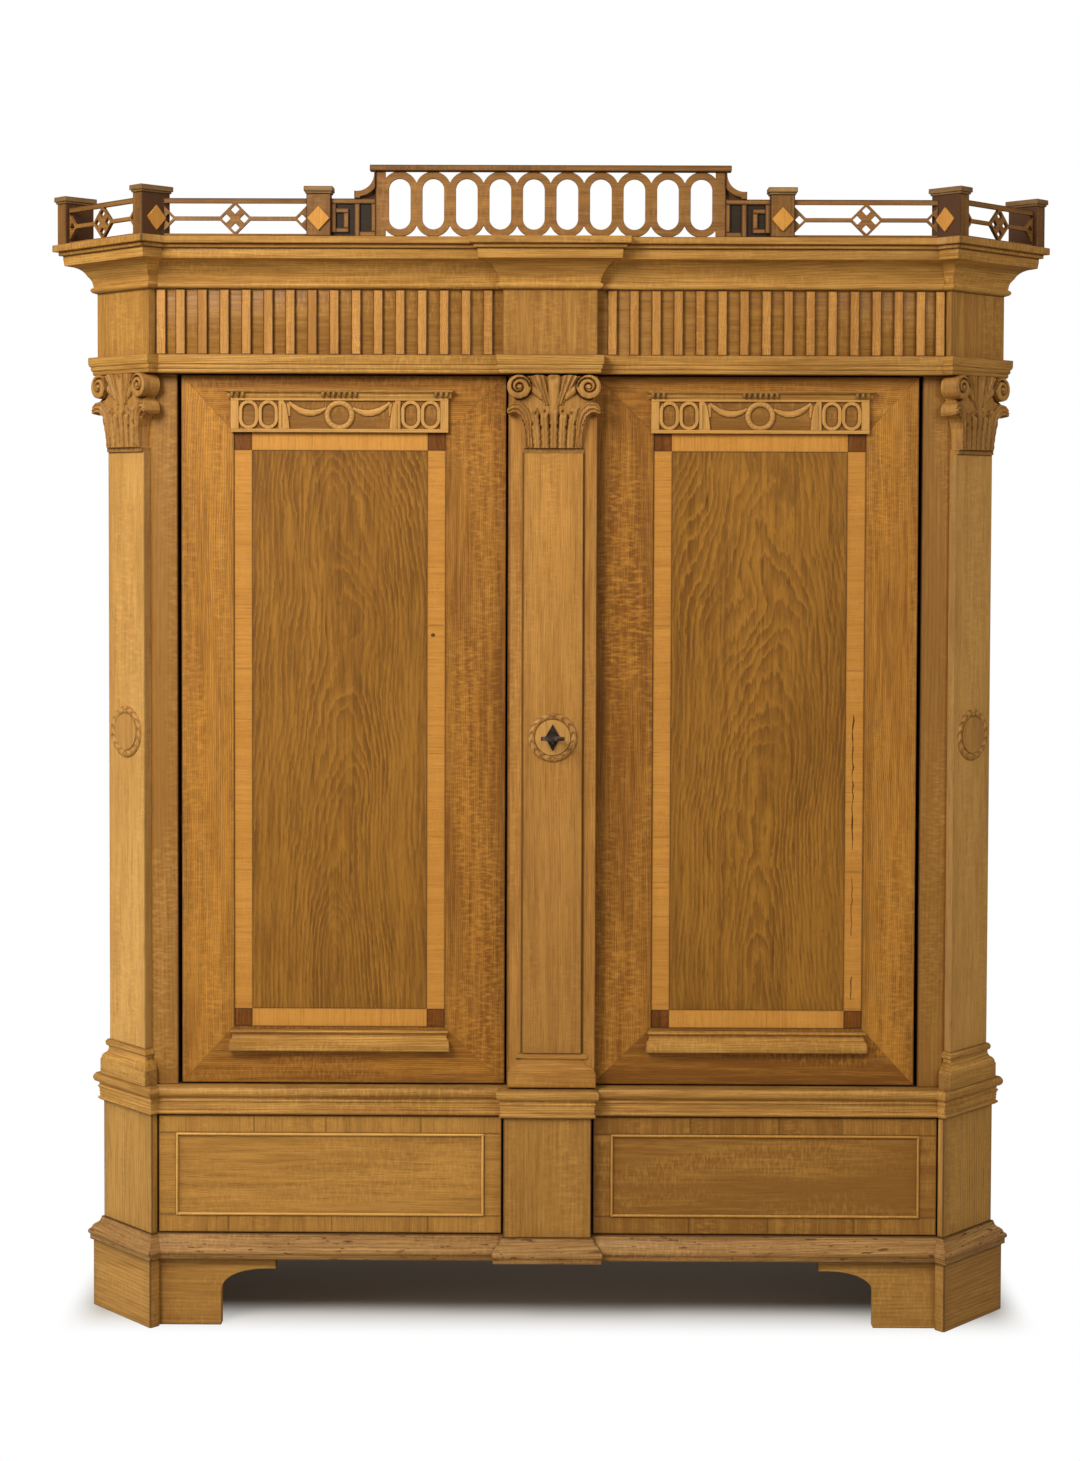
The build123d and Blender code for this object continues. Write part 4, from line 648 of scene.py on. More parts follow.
all_round(recess, frieze_levels, front_runs, tone=-0.12)
recess_oak = oak("recess_oak", (0.46, 0.222, 0.044), (0.23, 0.098, 0.0155), rings=520.0, ring_strength=0.8, heart=0.25, edge=0.3)
recess.finish("carcass", "oak", recess_oak)
strips = Timber("light_strips")
strip_low, strip_high = notch(6)[0] + 20, front_step(6)[0] - 20
pitch = (strip_high - 39 - strip_low) / 14
strip_oak = oak("strip_oak", (0.66, 0.325, 0.076), (0.4, 0.172, 0.029), heart=0.7, rings=300.0, ring_strength=0.6, edge=0.85)
for x in [strip_low + k * pitch for k in range(15)] + [strip_high]:
    for side in (1, -1):
        strips.add(batten((x, x + 20), (-2, 4), (1975.2, 2105.8)), (0, 0, 1), soften=0.7, sides=(side,), tone=strips.random.uniform(-0.2, 0.3))
strips.finish("carcass", "oak_light", strip_oak, "frieze_strips")
cornice_points = [(0, 0.14), (0.03, 0.24), (0.17, 0.22, 0.35), (0.19, 0.2), (0.2, 0.22), (0.45, 0.36, -0.1), (0.72, 0.84, -0.14)]
cornice_points += [(0.74, 0.97), (0.86, 0.99), (0.97, 1, 0.03), (1, 1)]
cornice = Timber("cornice")
all_round(cornice, drawn(2106, 78, 56, cornice_points))
cornice.finish("carcass", "oak_moulding", moulded, "cornice_moulding")
top = Timber("top_boards")
for p, z_range in ((72, (2192, 2206)), (63, (2184, 2192))):
    half = [point(p) for point in (back_end, side_corner, tip, corner, front_step, notch, centre_corner)]
    top.add(slab(half + [(-x, y) for x, y in reversed(half)], z_range), (1, 0, 0), (0, 0, 1), soften=1.2)
top.finish("carcass", "oak", honey, "top_board")

# Gallery: sawn frets between square posts, with loose caps, inlaid light lozenges, a key pattern on a
# dark board and a fret of joined ovals under a rail. It is pinned to the top board.
gallery_y, rail_z, low_z, high_z, centre_z = -54.0, (2271.0, 2281.0), 2206.0, 2281.0, 2241.0


def fret(outlines, y_range):
    """A fret sawn from one board: the first outline less the others."""
    part = bmesh.new()
    edges = []
    for outline in outlines:
        ring = [part.verts.new((x, y_range[1], z)) for x, z in outline]
        edges += [part.edges.new(pair) for pair in zip(ring, ring[1:] + ring[:1])]
    bmesh.ops.triangle_fill(part, use_beauty=True, use_dissolve=False, edges=edges, normal=(0, 1, 0))
    return extruded(part, part.faces[:], (0, y_range[0] - y_range[1], 0))


def lozenge(x, z, half_width, half_height):
    return [(x - half_width, z), (x, z - half_height), (x + half_width, z), (x, z + half_height)]


def lattice(x0, x1):
    """The outlines of a lattice fret between two posts: the board, then its windows."""
    middle = (x0 + x1) / 2
    windows = [[(x0, low_z), (x1, low_z), (x1, high_z), (x0, high_z)]]
    for post_x, way in ((x0, 1), (x1, -1)):
        windows.append(lozenge(post_x + way * 10, centre_z, 9, 9))
        lozenge_x = abs(middle - post_x)
        for up in (1, -1):
            window = [(0.8, 30.0), (0.8, 25.2), (22.0, 4.0), (lozenge_x - 30, 4.0), (lozenge_x - 4, 30.0)]
            windows.append([(post_x + way * x, centre_z + up * z) for x, z in window])
    for dx, dz in ((-18, 0), (18, 0), (0, -18), (0, 18)):
        windows.append(lozenge(middle + dx, centre_z + dz, 9, 9))
    return windows


posts = Timber("gallery_uprights")
for s in (1, -1):
    edge = sorted((s * 149.5, s * 118.5))
    posts.add(batten(edge, (-64, 4), (2206, 2290)), (0, 0, 1), place=cant_place, sides=(1, -1), soften=1.0, tone=-0.15)
posts.add(batten((435.75, 483.75), (-62, -31), (2206, 2290)), (0, 0, 1), sides=(1, -1), soften=1.0, tone=0.05)
gallery_oak = oak("gallery_oak", (0.345, 0.16, 0.038), (0.145, 0.063, 0.0135), rings=300.0, ring_strength=0.5, edge=0.8)
posts.finish("carcass", "oak", gallery_oak, "gallery_posts")
caps = Timber("gallery_caps")
for z_range, over in (((2290, 2294), 2.5), ((2294, 2304), 5)):
    for s in (1, -1):
        edge = sorted((s * (149.5 + over), s * (118.5 - over)))
        caps.add(batten(edge, (-64 - over, 4 + over), z_range), (0, 1, 0), (0, 0, 1), place=cant_place, sides=(1, -1), soften=1.0)
    caps.add(batten((435.75 - over, 483.75 + over), (-62 - over, -31 + over), z_range), (1, 0, 0), sides=(1, -1), soften=1.0)
cap_oak = oak("cap_oak", (0.4, 0.23, 0.085), (0.2, 0.11, 0.038), rings=300.0, edge=0.35)
caps.finish("carcass", "oak_dark", cap_oak, "gallery_post_caps")
inlays = Timber("gallery_lozenges")
inlays.add(board(lozenge(459.75, 2241, 22, 24), (-66, -62)), (0, 0, 1), sides=(1, -1), soften=0.2, tone=0.3)
turned = Matrix(((0, -1, 0, 0), (-1, 0, 0, 0), (0, 0, 1, 0), (0, 0, 0, 1)))
for s in (1, -1):
    flat = Matrix.Translation((s * 149.5, 0, 0)) @ Matrix.Rotation(s * math.pi / 2, 4, "Z")
    inlays.add(board(lozenge(s * -30, 2241, 22, 24), (-4, 0)), (0, 0, 1), place=cant_place @ flat, sides=(1, -1), soften=0.2)
inlays.finish("carcass", "oak_light", banding, "gallery_diamonds")
frets = Timber("lattice_frets")
frets.add(fret(lattice(483.75, 768.5), (-54, -46)), (1, 0, 0), sides=(1, -1), soften=0.7)
frets.add(fret(lattice(-118.5, 118.5), (-56, -48)), (1, 0, 0), place=cant_place, sides=(1, -1), soften=0.7)
frets.finish("carcass", "oak_light", gallery_oak, "gallery_frets")
keys = Timber("key_pattern")
key_low, key_high = 347.25, 435.75
key_bars = [((key_low, key_high), (2271, 2281)), ((key_low, 378.75), (2206, 2216)), ((key_low, 355.75), (2216, 2271)),
            ((378.75, 388.75), (2206, 2271)), ((425.75, key_high), (2214, 2271)), ((400.75, 410.75), (2223, 2253)),
            ((400.75, 425.75), (2214, 2223)), ((400.75, 425.75), (2253, 2262))]
for x_range, z_range in key_bars:
    along = (1, 0, 0) if x_range[1] - x_range[0] > z_range[1] - z_range[0] else (0, 0, 1)
    keys.add(batten(x_range, (-54, -50), z_range), along, soften=0.4, sides=(1, -1), tone=0.15)
keys.finish("carcass", "oak_light", gallery_oak, "gallery_key_panels")
dark = oak("dark_board", (0.036, 0.02, 0.008), (0.018, 0.01, 0.004), rings=260.0, ring_strength=0.3, flecks=0.0, turn=level)
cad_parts["gallery_key_backings"].data.materials.clear()
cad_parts["gallery_key_backings"].data.materials.append(dark)

consoles = Timber("gallery_brackets")
curve = []
for k in range(17):
    a = math.radians(-81.7 - 106.0 * k / 16)
    curve.append((384.3 + 34.4 * math.cos(a), 2330.1 + 34.4 * math.sin(a)))
under = [(384.3 + 45.4 * math.cos(a), 2330.1 + 45.4 * math.sin(a)) for a in [math.radians(-144.7 + 4.67 * k) for k in range(11)]]
strip = [(389.25, 2281), (389.25, 2296)] + curve[1:] + [(347.25, 2335)] + under + [(378, 2281)]
consoles.add(board(strip, (-58, -38)), (1, 0, 0), sides=(1, -1), soften=0.4, tone=0.1)
# The recessed board behind the curved strip is darkened as painted shade in the recess.
recessed = [(347.4, 2281.2)] + [(x, z + 2) for x, z in under] + [(378, 2281.2)]
consoles.add(board(recessed, (-46, -40)), (1, 0, 0), sides=(1, -1), soften=0, tone=-0.6, hollow=lambda co: 0.7)
consoles.finish("carcass", "oak", gallery_oak, "gallery_consoles")

ovals = Timber("oval_gallery")
outer_r, inner_r, join = 36.0, 21.4, 33.25


def oval_arc(centre, radius, z, up, start, end, steps=12):
    """Points along the round end of an oval, from one x offset to the other."""
    turns = [math.acos(offset / radius) for offset in (start, end)]
    angles = [turns[0] + (turns[1] - turns[0]) * k / steps for k in range(steps + 1)]
    return [(centre + radius * math.cos(a), z + up * radius * math.sin(a)) for a in angles]


centres = [66.5 * (k - 4.5) for k in range(10)]
post_in = 327.25 - centres[-1]
outline = [(-347.25, 2206), (-327.25, 2206)]
for centre in centres:
    start = -post_in if centre == centres[0] else -join
    end = post_in if centre == centres[-1] else join
    outline += oval_arc(centre, outer_r, 2206 + outer_r, -1, start, end)
outline += [(327.25, 2206), (347.25, 2206), (347.25, 2335), (327.25, 2335)]
for centre in reversed(centres):
    start = post_in if centre == centres[-1] else join
    end = -post_in if centre == centres[0] else -join
    outline += oval_arc(centre, outer_r, 2335 - outer_r, 1, start, end)
outline += [(-327.25, 2335), (-347.25, 2335)]
clean = [outline[0]]
for point in outline[1:]:
    if math.dist(point, clean[-1]) > 0.05:
        clean.append(point)
holes = []
for centre in centres:
    hole = oval_arc(centre, inner_r, 2206 + outer_r, -1, -inner_r, inner_r, 16)
    holes.append(hole + oval_arc(centre, inner_r, 2335 - outer_r, 1, inner_r, -inner_r, 16))
ovals.add(fret([clean] + holes, (-54, -46)), (1, 0, 0), soften=0.8)
ovals.finish("carcass", "oak_light", gallery_oak, "gallery_oval_fret")
rail = Timber("gallery_rail")
rail.add(batten((-358.25, 358.25), (-61, -39), (2335, 2347)), (1, 0, 0), soften=1.2, tone=-0.1)
rail.finish("carcass", "oak", gallery_oak, "gallery_top_rail")

# Plaques and sills on the doors: light strips, ovals, swags and a wreath glued over a darker board, with
# a small cornice that has little carved leaves on it. The sill under the field is one moulded length.
plaque_x, plaque_half, plaque_z = (field_x[0] + field_x[1]) / 2, (field_x[1] - field_x[0]) / 2 + 6, field_z[1]
carved = oak("carved_oak", (0.56, 0.29, 0.073), (0.3, 0.134, 0.027), rings=240.0, ring_strength=0.25, flecks=0.1, edge=0.0, gloss=0.5)
round_profile = [(math.cos(a), math.sin(a)) for a in [math.pi * k / 6 for k in range(7)]] + [(-1, -0.6), (1, -0.6)]


def swept(stations, profile=round_profile):
    """Sweeps a profile along stations: a centre, the directions across and outwards, and two half sizes."""
    part, face, last = bmesh.new(), None, []
    for centre, across, outward, wide, high in stations:
        ring = [Vector(centre) + Vector(across) * (wide * u) + Vector(outward) * (high * v) for u, v in profile]
        if face is None:
            face = part.faces.new([part.verts.new(point) for point in ring])
        else:
            made = bmesh.ops.extrude_face_region(part, geom=[face])["geom"]
            face = next(item for item in made if isinstance(item, bmesh.types.BMFace))
            order = {tuple(round(c, 3) for c in point): number for number, point in enumerate(last)}
            for vertex in face.verts:
                vertex.co = ring[order[tuple(round(c, 3) for c in vertex.co)]]
        last = ring
    bmesh.ops.recalc_face_normals(part, faces=part.faces)
    return part


def wreath(centre, inner, outer, stand, leaves, cut=1.0, steps=150):
    """A carved ring of laurel leaves in pairs, lying against a board. centre is x, y, z on the board's face,
    and cut is how deep the leaves are cut."""
    part = bmesh.new()
    middle, half = (inner + outer) / 2, (outer - inner) / 2
    section = [part.verts.new((middle + half * math.cos(math.pi * k / 8), -stand * math.sin(math.pi * k / 8), 0)) for k in range(9)]
    ends = [part.edges.new(pair) for pair in zip(section, section[1:] + section[:1])]
    turn = {"cent": (0, 0, 0), "axis": (0, 1, 0), "dvec": (0, 0, 0), "angle": 2 * math.pi, "steps": steps, "use_merge": True}
    bmesh.ops.spin(part, geom=section + ends, **turn)
    bmesh.ops.remove_doubles(part, verts=part.verts, dist=0.001)
    bmesh.ops.recalc_face_normals(part, faces=part.faces)
    depth = part.verts.layers.float.new("hollow")
    for vertex in part.verts:
        radius = math.hypot(vertex.co.x, vertex.co.z)
        across = (radius - middle) / half
        way = 1 if vertex.co.x >= 0 else -1
        phase = leaves * (math.atan2(vertex.co.x, vertex.co.z) * way / (2 * math.pi)) - 0.55 * abs(across)
        saw = phase - math.floor(phase)
        if vertex.co.y < -0.01:
            vertex.co.y *= 1 - 0.55 * cut * (1 - saw)
            # The leaf cuts and the edges of the ring against the board are darkened with old polish and painted shade.
            vertex[depth] = cut * max(0.0, 0.75 - 1.6 * saw) + 0.3 * abs(across) ** 3
    bmesh.ops.translate(part, vec=centre, verts=part.verts)
    return part


def ring_fret(x, z, half_width, height, stroke, y_range):
    """One upright oval ring."""
    outlines = []
    for less in (0, stroke):
        radius, rise = half_width - less, height / 2 - half_width
        turns = [math.pi * k / 12 for k in range(13)]
        top_end = [(x + radius * math.cos(a), z + rise + radius * math.sin(a)) for a in turns]
        outlines.append(top_end + [(x - radius * math.cos(a), z - rise - radius * math.sin(a)) for a in turns])
    return fret(outlines, y_range)


def lump(centre, sizes, turn=0.0):
    """A small carved leaf, an egg-shaped lump lying against the wood."""
    part = bmesh.new()
    bmesh.ops.create_uvsphere(part, u_segments=12, v_segments=8, radius=1.0)
    bmesh.ops.scale(part, vec=sizes, verts=part.verts)
    bmesh.ops.rotate(part, cent=(0, 0, 0), matrix=Matrix.Rotation(turn, 3, "Y"), verts=part.verts)
    bmesh.ops.translate(part, vec=centre, verts=part.verts)
    return part


small_points = [(0, 0.5), (0.2, 0.52), (0.25, 0.6), (0.7, 0.86, -0.2), (0.76, 0.96), (1, 1, 0.1)]
sill_points = [(0, 1), (0.32, 1), (0.35, 0.9), (0.45, 0.86), (0.76, 0.24, -0.16), (0.8, 0.2), (0.83, 0.42), (0.98, 0.42, 0.25), (1, 0.36)]


def profiled(half, spread, stand, z_range, points):
    """A moulded length that returns at both ends, with its back at y = 0."""
    levels = drawn(z_range[0], z_range[1] - z_range[0], spread, points)
    return stacked([(z, half + p, stand * p / spread) for z, p in levels], 0)


for name, side in (("left", -1), ("right", 1)):
    body = name + "_door"
    plaque_ground = Timber(name + "_plaque_ground")
    low_z, top_z = plaque_z, plaque_z + 69
    span = (plaque_x - plaque_half + 1, plaque_x + plaque_half - 1)
    plaque_ground.add(batten(span, (20.5, 24), (low_z + 1, top_z - 1)), (1, 0, 0), soften=0, sides=(side,), tone=-0.5)
    plaque_ground.finish(body, "oak", recess_oak)
    plaque = Timber(name + "_plaque_fret")
    at = Matrix.Translation((plaque_x, 0, low_z))
    put = {"place": at, "sides": (side,), "tone": 0.4}
    plaque.add(batten((-plaque_half, plaque_half), (16, 20.6), (0, 7)), (1, 0, 0), soften=0.5, **put)
    plaque.add(batten((-plaque_half, plaque_half), (16, 20.6), (64, 69)), (1, 0, 0), soften=0.5, **put)
    for s in (1, -1):
        ends = sorted((s * plaque_half, s * plaque_half * 0.927))
        plaque.add(batten(ends, (16.2, 20.6), (7, 64)), (0, 0, 1), soften=0.5, **put)
        for share in (0.655, 0.836):
            plaque.add(ring_fret(s * plaque_half * share, 35.5, 19.6, 58, 6.8, (16.3, 20.6)), (0, 0, 1), soften=0.8, **put)
            # A thin dark ring round each oval where it meets the ground: painted shade and old polish at its foot.
            part = ring_fret(s * plaque_half * share, 35.5, 21.4, 61.6, 10.4, (20.3, 20.6))
            plaque.add(part, (0, 0, 1), soften=0, hollow=lambda co: 0.85, **put)
        bracket_points = [(0.56, 7), (0.46, 7), (0.465, 20), (0.478, 42), (0.49, 55), (0.515, 64), (0.56, 64)]
        plaque.add(board([(s * plaque_half * x, z) for x, z in bracket_points], (16.1, 20.6)), (0, 0, 1), soften=0.6, **put)
        groove = [((s * plaque_half * 0.53, 16.4, z), (1, 0, 0), (0, -1, 0), 1.4, 1.0) for z in range(9, 63, 6)]
        plaque.add(swept(groove), (0, 0, 1), soften=0, hollow=lambda co: 0.45, **put)
        start, low_point, finish_point = Vector((s * -102, 60.5)), Vector((s * -66, 24.5)), Vector((s * -27, 49))
        stations = []
        for k in range(25):
            t = k / 24
            place = start * (1 - t) ** 2 + low_point * 2 * t * (1 - t) + finish_point * t * t
            course = (low_point - start) * (1 - t) + (finish_point - low_point) * t
            across = Vector((-course.y, 0, course.x)).normalized()
            fat = 2.6 + 4.2 * math.sin(math.pi * t) ** 0.8 + 0.35 * math.cos(math.pi * 12 * t)
            stations.append(((place.x, 20, place.y), across, (0, -1, 0), fat, 3.4 + 0.8 * math.sin(math.pi * t)))
        # The swag darkens towards the ground with painted shade, and a thin dark sheet under it paints shade and old
        # polish round its edge.
        plaque.add(swept(stations), (1, 0, 0), soften=0, hollow=lambda co: 0.4 * max(0.0, (co.y - 18) / 2.6), **put)
        flat = [((x, 20.5, z), across, outward, fat + 1.7, 0.2) for (x, y, z), across, outward, fat, high in stations]
        plaque.add(swept(flat), (1, 0, 0), soften=0, hollow=lambda co: 0.85, **put)
        ribbon = [((s * (-103 + 0.3 * k), 20, 58 - 5 * k), (1, 0, 0), (0, -1, 0), 4.2 - 0.4 * k, 2.6) for k in range(6)]
        plaque.add(swept(ribbon), (0, 0, 1), soften=0, **put)
    plaque.add(wreath((0, 20.2, 34.5), 19.3, 30.5, 4.6, 18, 0.4), (1, 0, 0), soften=0, **put)
    # A thin dark ring under the wreath paints shade and old polish round its foot.
    plaque.add(wreath((0, 20.4, 34.5), 17.6, 32.2, 0.3, 1, 0), (1, 0, 0), soften=0, hollow=lambda co: 0.85, **put)
    plaque.finish(body, "oak_carved", carved, name + "_door_ornaments")
    small = Timber(name + "_plaque_cornice")
    at = Matrix.Translation((plaque_x, 24, 0))
    small.add(profiled(plaque_half + 1, 9, 16, (top_z, top_z + 17), small_points), (1, 0, 0), soften=0.3, place=at, sides=(side,))
    for middle, count in ((0, 7), (-plaque_half + 14, 3), (plaque_half - 14, 3)):
        for k in range(count):
            x = middle + (k - (count - 1) / 2) * 11
            part = lump((plaque_x + x, 12.5, top_z + 8.5), (4.0, 3.4, 7.5), turn=0.25 * (k % 2 - 0.5))
            small.add(part, (0, 0, 1), soften=0, sides=(side,), tone=-0.15, hollow=lambda co: 0.35)
    small.finish(body, "oak_moulding", moulded)
    sill = Timber(name + "_door_sill")
    part = profiled(plaque_half - 3, 8, 16, (562, 604), sill_points)
    sill.add(part, (1, 0, 0), soften=0.4, place=at, sides=(side,), tone=-0.1)
    sill.finish(body, "oak_moulding", moulded)

# Centre pilaster: a board planted on the right leaf covers the joint of the doors, with a raised panel
# and a moulded base on it. The bolt of the lock passes behind it.
cover = Timber("pilaster_cover")
cover.add(batten((-80, 96), (-2, 24), leaf_z), (0, 0, 1), soften=1.4, tone=-0.1)
# Painted shade: the raised panel grows darker towards the bottom, and the strips beside it are a little darker.
cover.add(batten((-52, 68), (-8, -1.9), (563, 1780)), (0, 0, 1), soften=1.0, tone=0.3, hollow=lambda co: 0.28 * (co.z < 1000))
for x_range in ((-55.5, -52.6), (68.6, 71.5)):
    cover.add(batten(x_range, (-3, -1.9), (563, 1780)), (0, 0, 1), soften=0.3, tone=-0.1, hollow=lambda co: 0.08)
at = Matrix.Translation((8, -2, 0))
cover.add(pilaster_base(60, 30, 8, (494, 563), 6), (1, 0, 0), place=at, soften=0.4, tone=-0.1)
pilaster_oak = oak("pilaster_oak", (0.54, 0.262, 0.057), (0.31, 0.13, 0.022), rings=200.0, ring_strength=0.3, edge=0.45)
cover.finish("right_door", "oak_light", pilaster_oak, "door_pilaster")

# Capitals: carved in relief from one block each, with two volutes, three tongues between them, curled
# leaves under the volutes and a row of upright acanthus leaves. Old polish and painted shade darken the cuts.


def bump_at(distance, width):
    """A soft mound or cut: 1 in its middle and almost 0 two widths away."""
    return math.exp(-(distance / width) ** 2)


curl_path = [(50, 14, 5), (50, 40, 6), (52, 62, 8), (58, 80, 10.5), (70, 91, 12), (82, 92, 10.5), (91, 86, 7.5)]


def beside_path(s, z):
    """Where a point lies beside the curl of the side leaf: its share across, and its share along."""
    best = (9.0, 0.0)
    for k, ((x0, z0, half0), (x1, z1, half1)) in enumerate(zip(curl_path, curl_path[1:])):
        dx, dz = x1 - x0, z1 - z0
        t = min(1.0, max(0.0, ((s - x0) * dx + (z - z0) * dz) / (dx * dx + dz * dz)))
        away = math.hypot(s - x0 - t * dx, z - z0 - t * dz) / (half0 + (half1 - half0) * t)
        if away < abs(best[0]):
            best = (math.copysign(away, (s - x0) * dz - (z - z0) * dx), (k + t) / (len(curl_path) - 1))
    return best


def carving(x, z):
    """How far the carving stands out at a place, and how much old polish and painted shade darken it there."""
    s = abs(x)
    height, wax_and_shade = 5 + 8 * (z / 158) ** 2, 0.12
    # The low fillet at the foot of the capital is darkened as painted shade.
    if z < 9:
        return 4.0, 0.35 + 0.4 * bump_at(z - 8, 2)
    spread = 1 + 0.3 * (z / 95) ** 2
    row = min(3, round(s / spread / 16.5))
    v = (s / spread - 16.5 * row) / (8.25 - 1.5 * abs(math.sin(z * 0.21 + row)))
    top = (88, 79, 92, 80)[row]
    if z < top and abs(v) < 1:
        round_top = math.sqrt(max(0.0, 1 - max(0.0, (z - top + 9) / 9) ** 2))
        ridge = math.sqrt(1 - v * v)
        leaf = 6 + (5.5 * ridge + 6 * (z / top) ** 2) * round_top - 1.6 * bump_at(v, 0.2)
        height, wax_and_shade = leaf, 0.06 + 0.5 * (1 - ridge) + 0.2 * bump_at(v, 0.16)
    for hole_x, hole_z, long in ((8.7, 55, 3.5), (25.5, 52, 3), (9.3, 74, 4), (28, 72, 5), (18, 84, 3), (36, 80, 4), (43, 58, 4)):
        cut = bump_at(s - hole_x, 2.0) * bump_at(z - hole_z, long)
        height, wax_and_shade = height - 5 * cut, wax_and_shade + 0.65 * cut
    if z > 58 and s < 17:
        half = 8.5 + 5.5 * ((z - 58) / 100) ** 1.5
        if s < half:
            edge = (s / half) ** 2
            stem = 10 + 11 * (z - 58) / 100 - 4.5 * edge - 5 * bump_at(math.hypot(x, z - 150), 7)
            if stem > height:
                height, wax_and_shade = stem, 0.75 * edge ** 3 + 0.3 * bump_at(math.hypot(x, z - 150), 7)
    if z > 96 and 8 < s < 60:
        slant = s - 12 - 0.36 * (z - 96)
        across = slant / (5 + 9.5 * (z - 96) / 60)
        if abs(across) < 1:
            tongue = 11 + 9 * (z - 96) / 60 + 1.8 * math.cos(across * 7.5) - 3 * across * across
            if tongue > height:
                height, wax_and_shade = tongue, 0.2 - 0.25 * math.cos(across * 7.5) + 0.4 * across ** 6
    if z < 112 and s > 38:
        across, t = beside_path(s, z)
        if abs(across) < 1:
            curl = 8.5 + 12 * t + (1.2 + t) * math.cos(across * 7.9) - 4 * across * across
            height, wax_and_shade = curl, 0.16 - 0.14 * math.cos(across * 7.9) + 0.5 * across ** 6
    across = (z - 151 + 1.25 * (62 - s) - 0.008 * (62 - s) ** 2) / 9
    if 24 < s < 66 and z > 96 and abs(across) < 1:
        band = 14 + 7.5 * (s - 24) / 42 - 3 * across ** 2
        if band > height:
            height, wax_and_shade = band, 0.1 + 0.6 * across ** 6
    r, turn = math.hypot(s - 70, z - 134), math.atan2(z - 134, s - 70)
    if r < 24.2:
        angle = (math.pi - turn) % (2 * math.pi)
        nearest = min((abs(r - 21.5 * math.exp(-0.152 * (angle + 2 * math.pi * k))), k) for k in range(2))[0]
        groove = bump_at(nearest, 1.7) * (1 if r > 4.5 else 0)
        height = 22.5 - 2.2 * (r / 24) ** 4 - 8 * groove
        wax_and_shade = 0.05 + 0.8 * groove + 0.3 * (r / 24.2) ** 12
    elif r < 27.5:
        cut = bump_at(r - 25.5, 1.6)
        height, wax_and_shade = height - 5 * cut, wax_and_shade + 0.65 * cut
    return height, min(0.85, max(0.0, wax_and_shade))


def capital(height, back):
    """The relief of a capital, drawn about x = 0 from z = 0 upwards, with a flat back at y = back."""
    half = [(61, 0), (61, 8), (57, 10), (57, 30), (59, 50), (64, 64), (71, 74), (80, 78), (86, 76), (91, 77), (94, 83), (93, 90)]
    half += [(89, 99), (80, 104), (76, 107)]
    half += [(70 + 24 * math.cos(a), 134 + 24 * math.sin(a)) for a in [math.pi * (-0.37 + 0.87 * k / 22) for k in range(23)]]
    half += [(62, 157), (46, 155.5), (38, 157.6), (26, 157.8), (16, 156), (13.5, 153), (11.5, 156.5), (6, 158)]
    outline = []
    for (x0, z0), (x1, z1) in zip(half, half[1:]):
        count = max(1, round(math.hypot(x1 - x0, z1 - z0) / 2.2))
        outline += [(x0 + (x1 - x0) * k / count, z0 + (z1 - z0) * k / count) for k in range(count)]
    outline += [half[-1], (0, 158)] + [(-x, z) for x, z in reversed(outline + [half[-1]])]
    points = [Vector(point) for point in outline]
    for row in range(1, 99):
        z = 1.6 * row
        crossings = sorted(x0 + (x1 - x0) * (z - z0) / (z1 - z0)
                           for (x0, z0), (x1, z1) in zip(outline, outline[1:] + outline[:1]) if (z0 > z) != (z1 > z))
        for start, end in zip(crossings[::2], crossings[1::2]):
            count = int((end - start - 2) / 1.7)
            points += [Vector((start + (end - start) * (k + 0.5) / (count + 1), z)) for k in range(count + 1)]
    edges = [(k, (k + 1) % len(outline)) for k in range(len(outline))]
    spots, _, faces, *_ = mathutils.geometry.delaunay_2d_cdt(points, edges, [], 1, 0.0001)
    part = bmesh.new()
    wax_and_shade = part.verts.layers.float.new("hollow")
    front = [part.verts.new((spot.x, back, spot.y)) for spot in spots]
    made = [part.faces.new([front[k] for k in face]) for face in faces]
    fresh = bmesh.ops.extrude_face_region(part, geom=made)["geom"]
    for vertex in [item for item in fresh if isinstance(item, bmesh.types.BMVert)]:
        stand, vertex[wax_and_shade] = carving(vertex.co.x, vertex.co.z)
        vertex.co.y = -min(24.0, stand)
    bmesh.ops.recalc_face_normals(part, faces=part.faces)
    bmesh.ops.scale(part, vec=(1, 1, height / 158), verts=part.verts)
    return part


capitals = Timber("carved_corner_capitals")
capitals.add(capital(158, 18), (0, 0, 1), soften=0, place=cant_place @ Matrix.Translation((0, 0, 1780)), sides=(1, -1))
capitals.finish("carcass", "oak_carved", carved, "corner_capitals")
centre_capital = Timber("carved_centre_capital")
centre_capital.add(capital(155, 1.5), (0, 0, 1), soften=0, place=Matrix.Translation((8, -2, 1780)))
centre_capital.finish("right_door", "oak_carved", carved, "door_capital")

# Medallions and keyhole ring: low wreaths round a smooth disc, glued to the shafts and cut with a gouge.


def disc(centre, radius, stand, back):
    """A smooth disc with a softened rim, lying against a board."""
    part = bmesh.new()
    bmesh.ops.create_cone(part, cap_ends=True, segments=56, radius1=radius, radius2=radius - 1.0, depth=stand + back)
    bmesh.ops.rotate(part, cent=(0, 0, 0), matrix=Matrix.Rotation(math.pi / 2, 3, "X"), verts=part.verts)
    bmesh.ops.translate(part, vec=(centre[0], centre[1] + back - (stand + back) / 2, centre[2]), verts=part.verts)
    return part


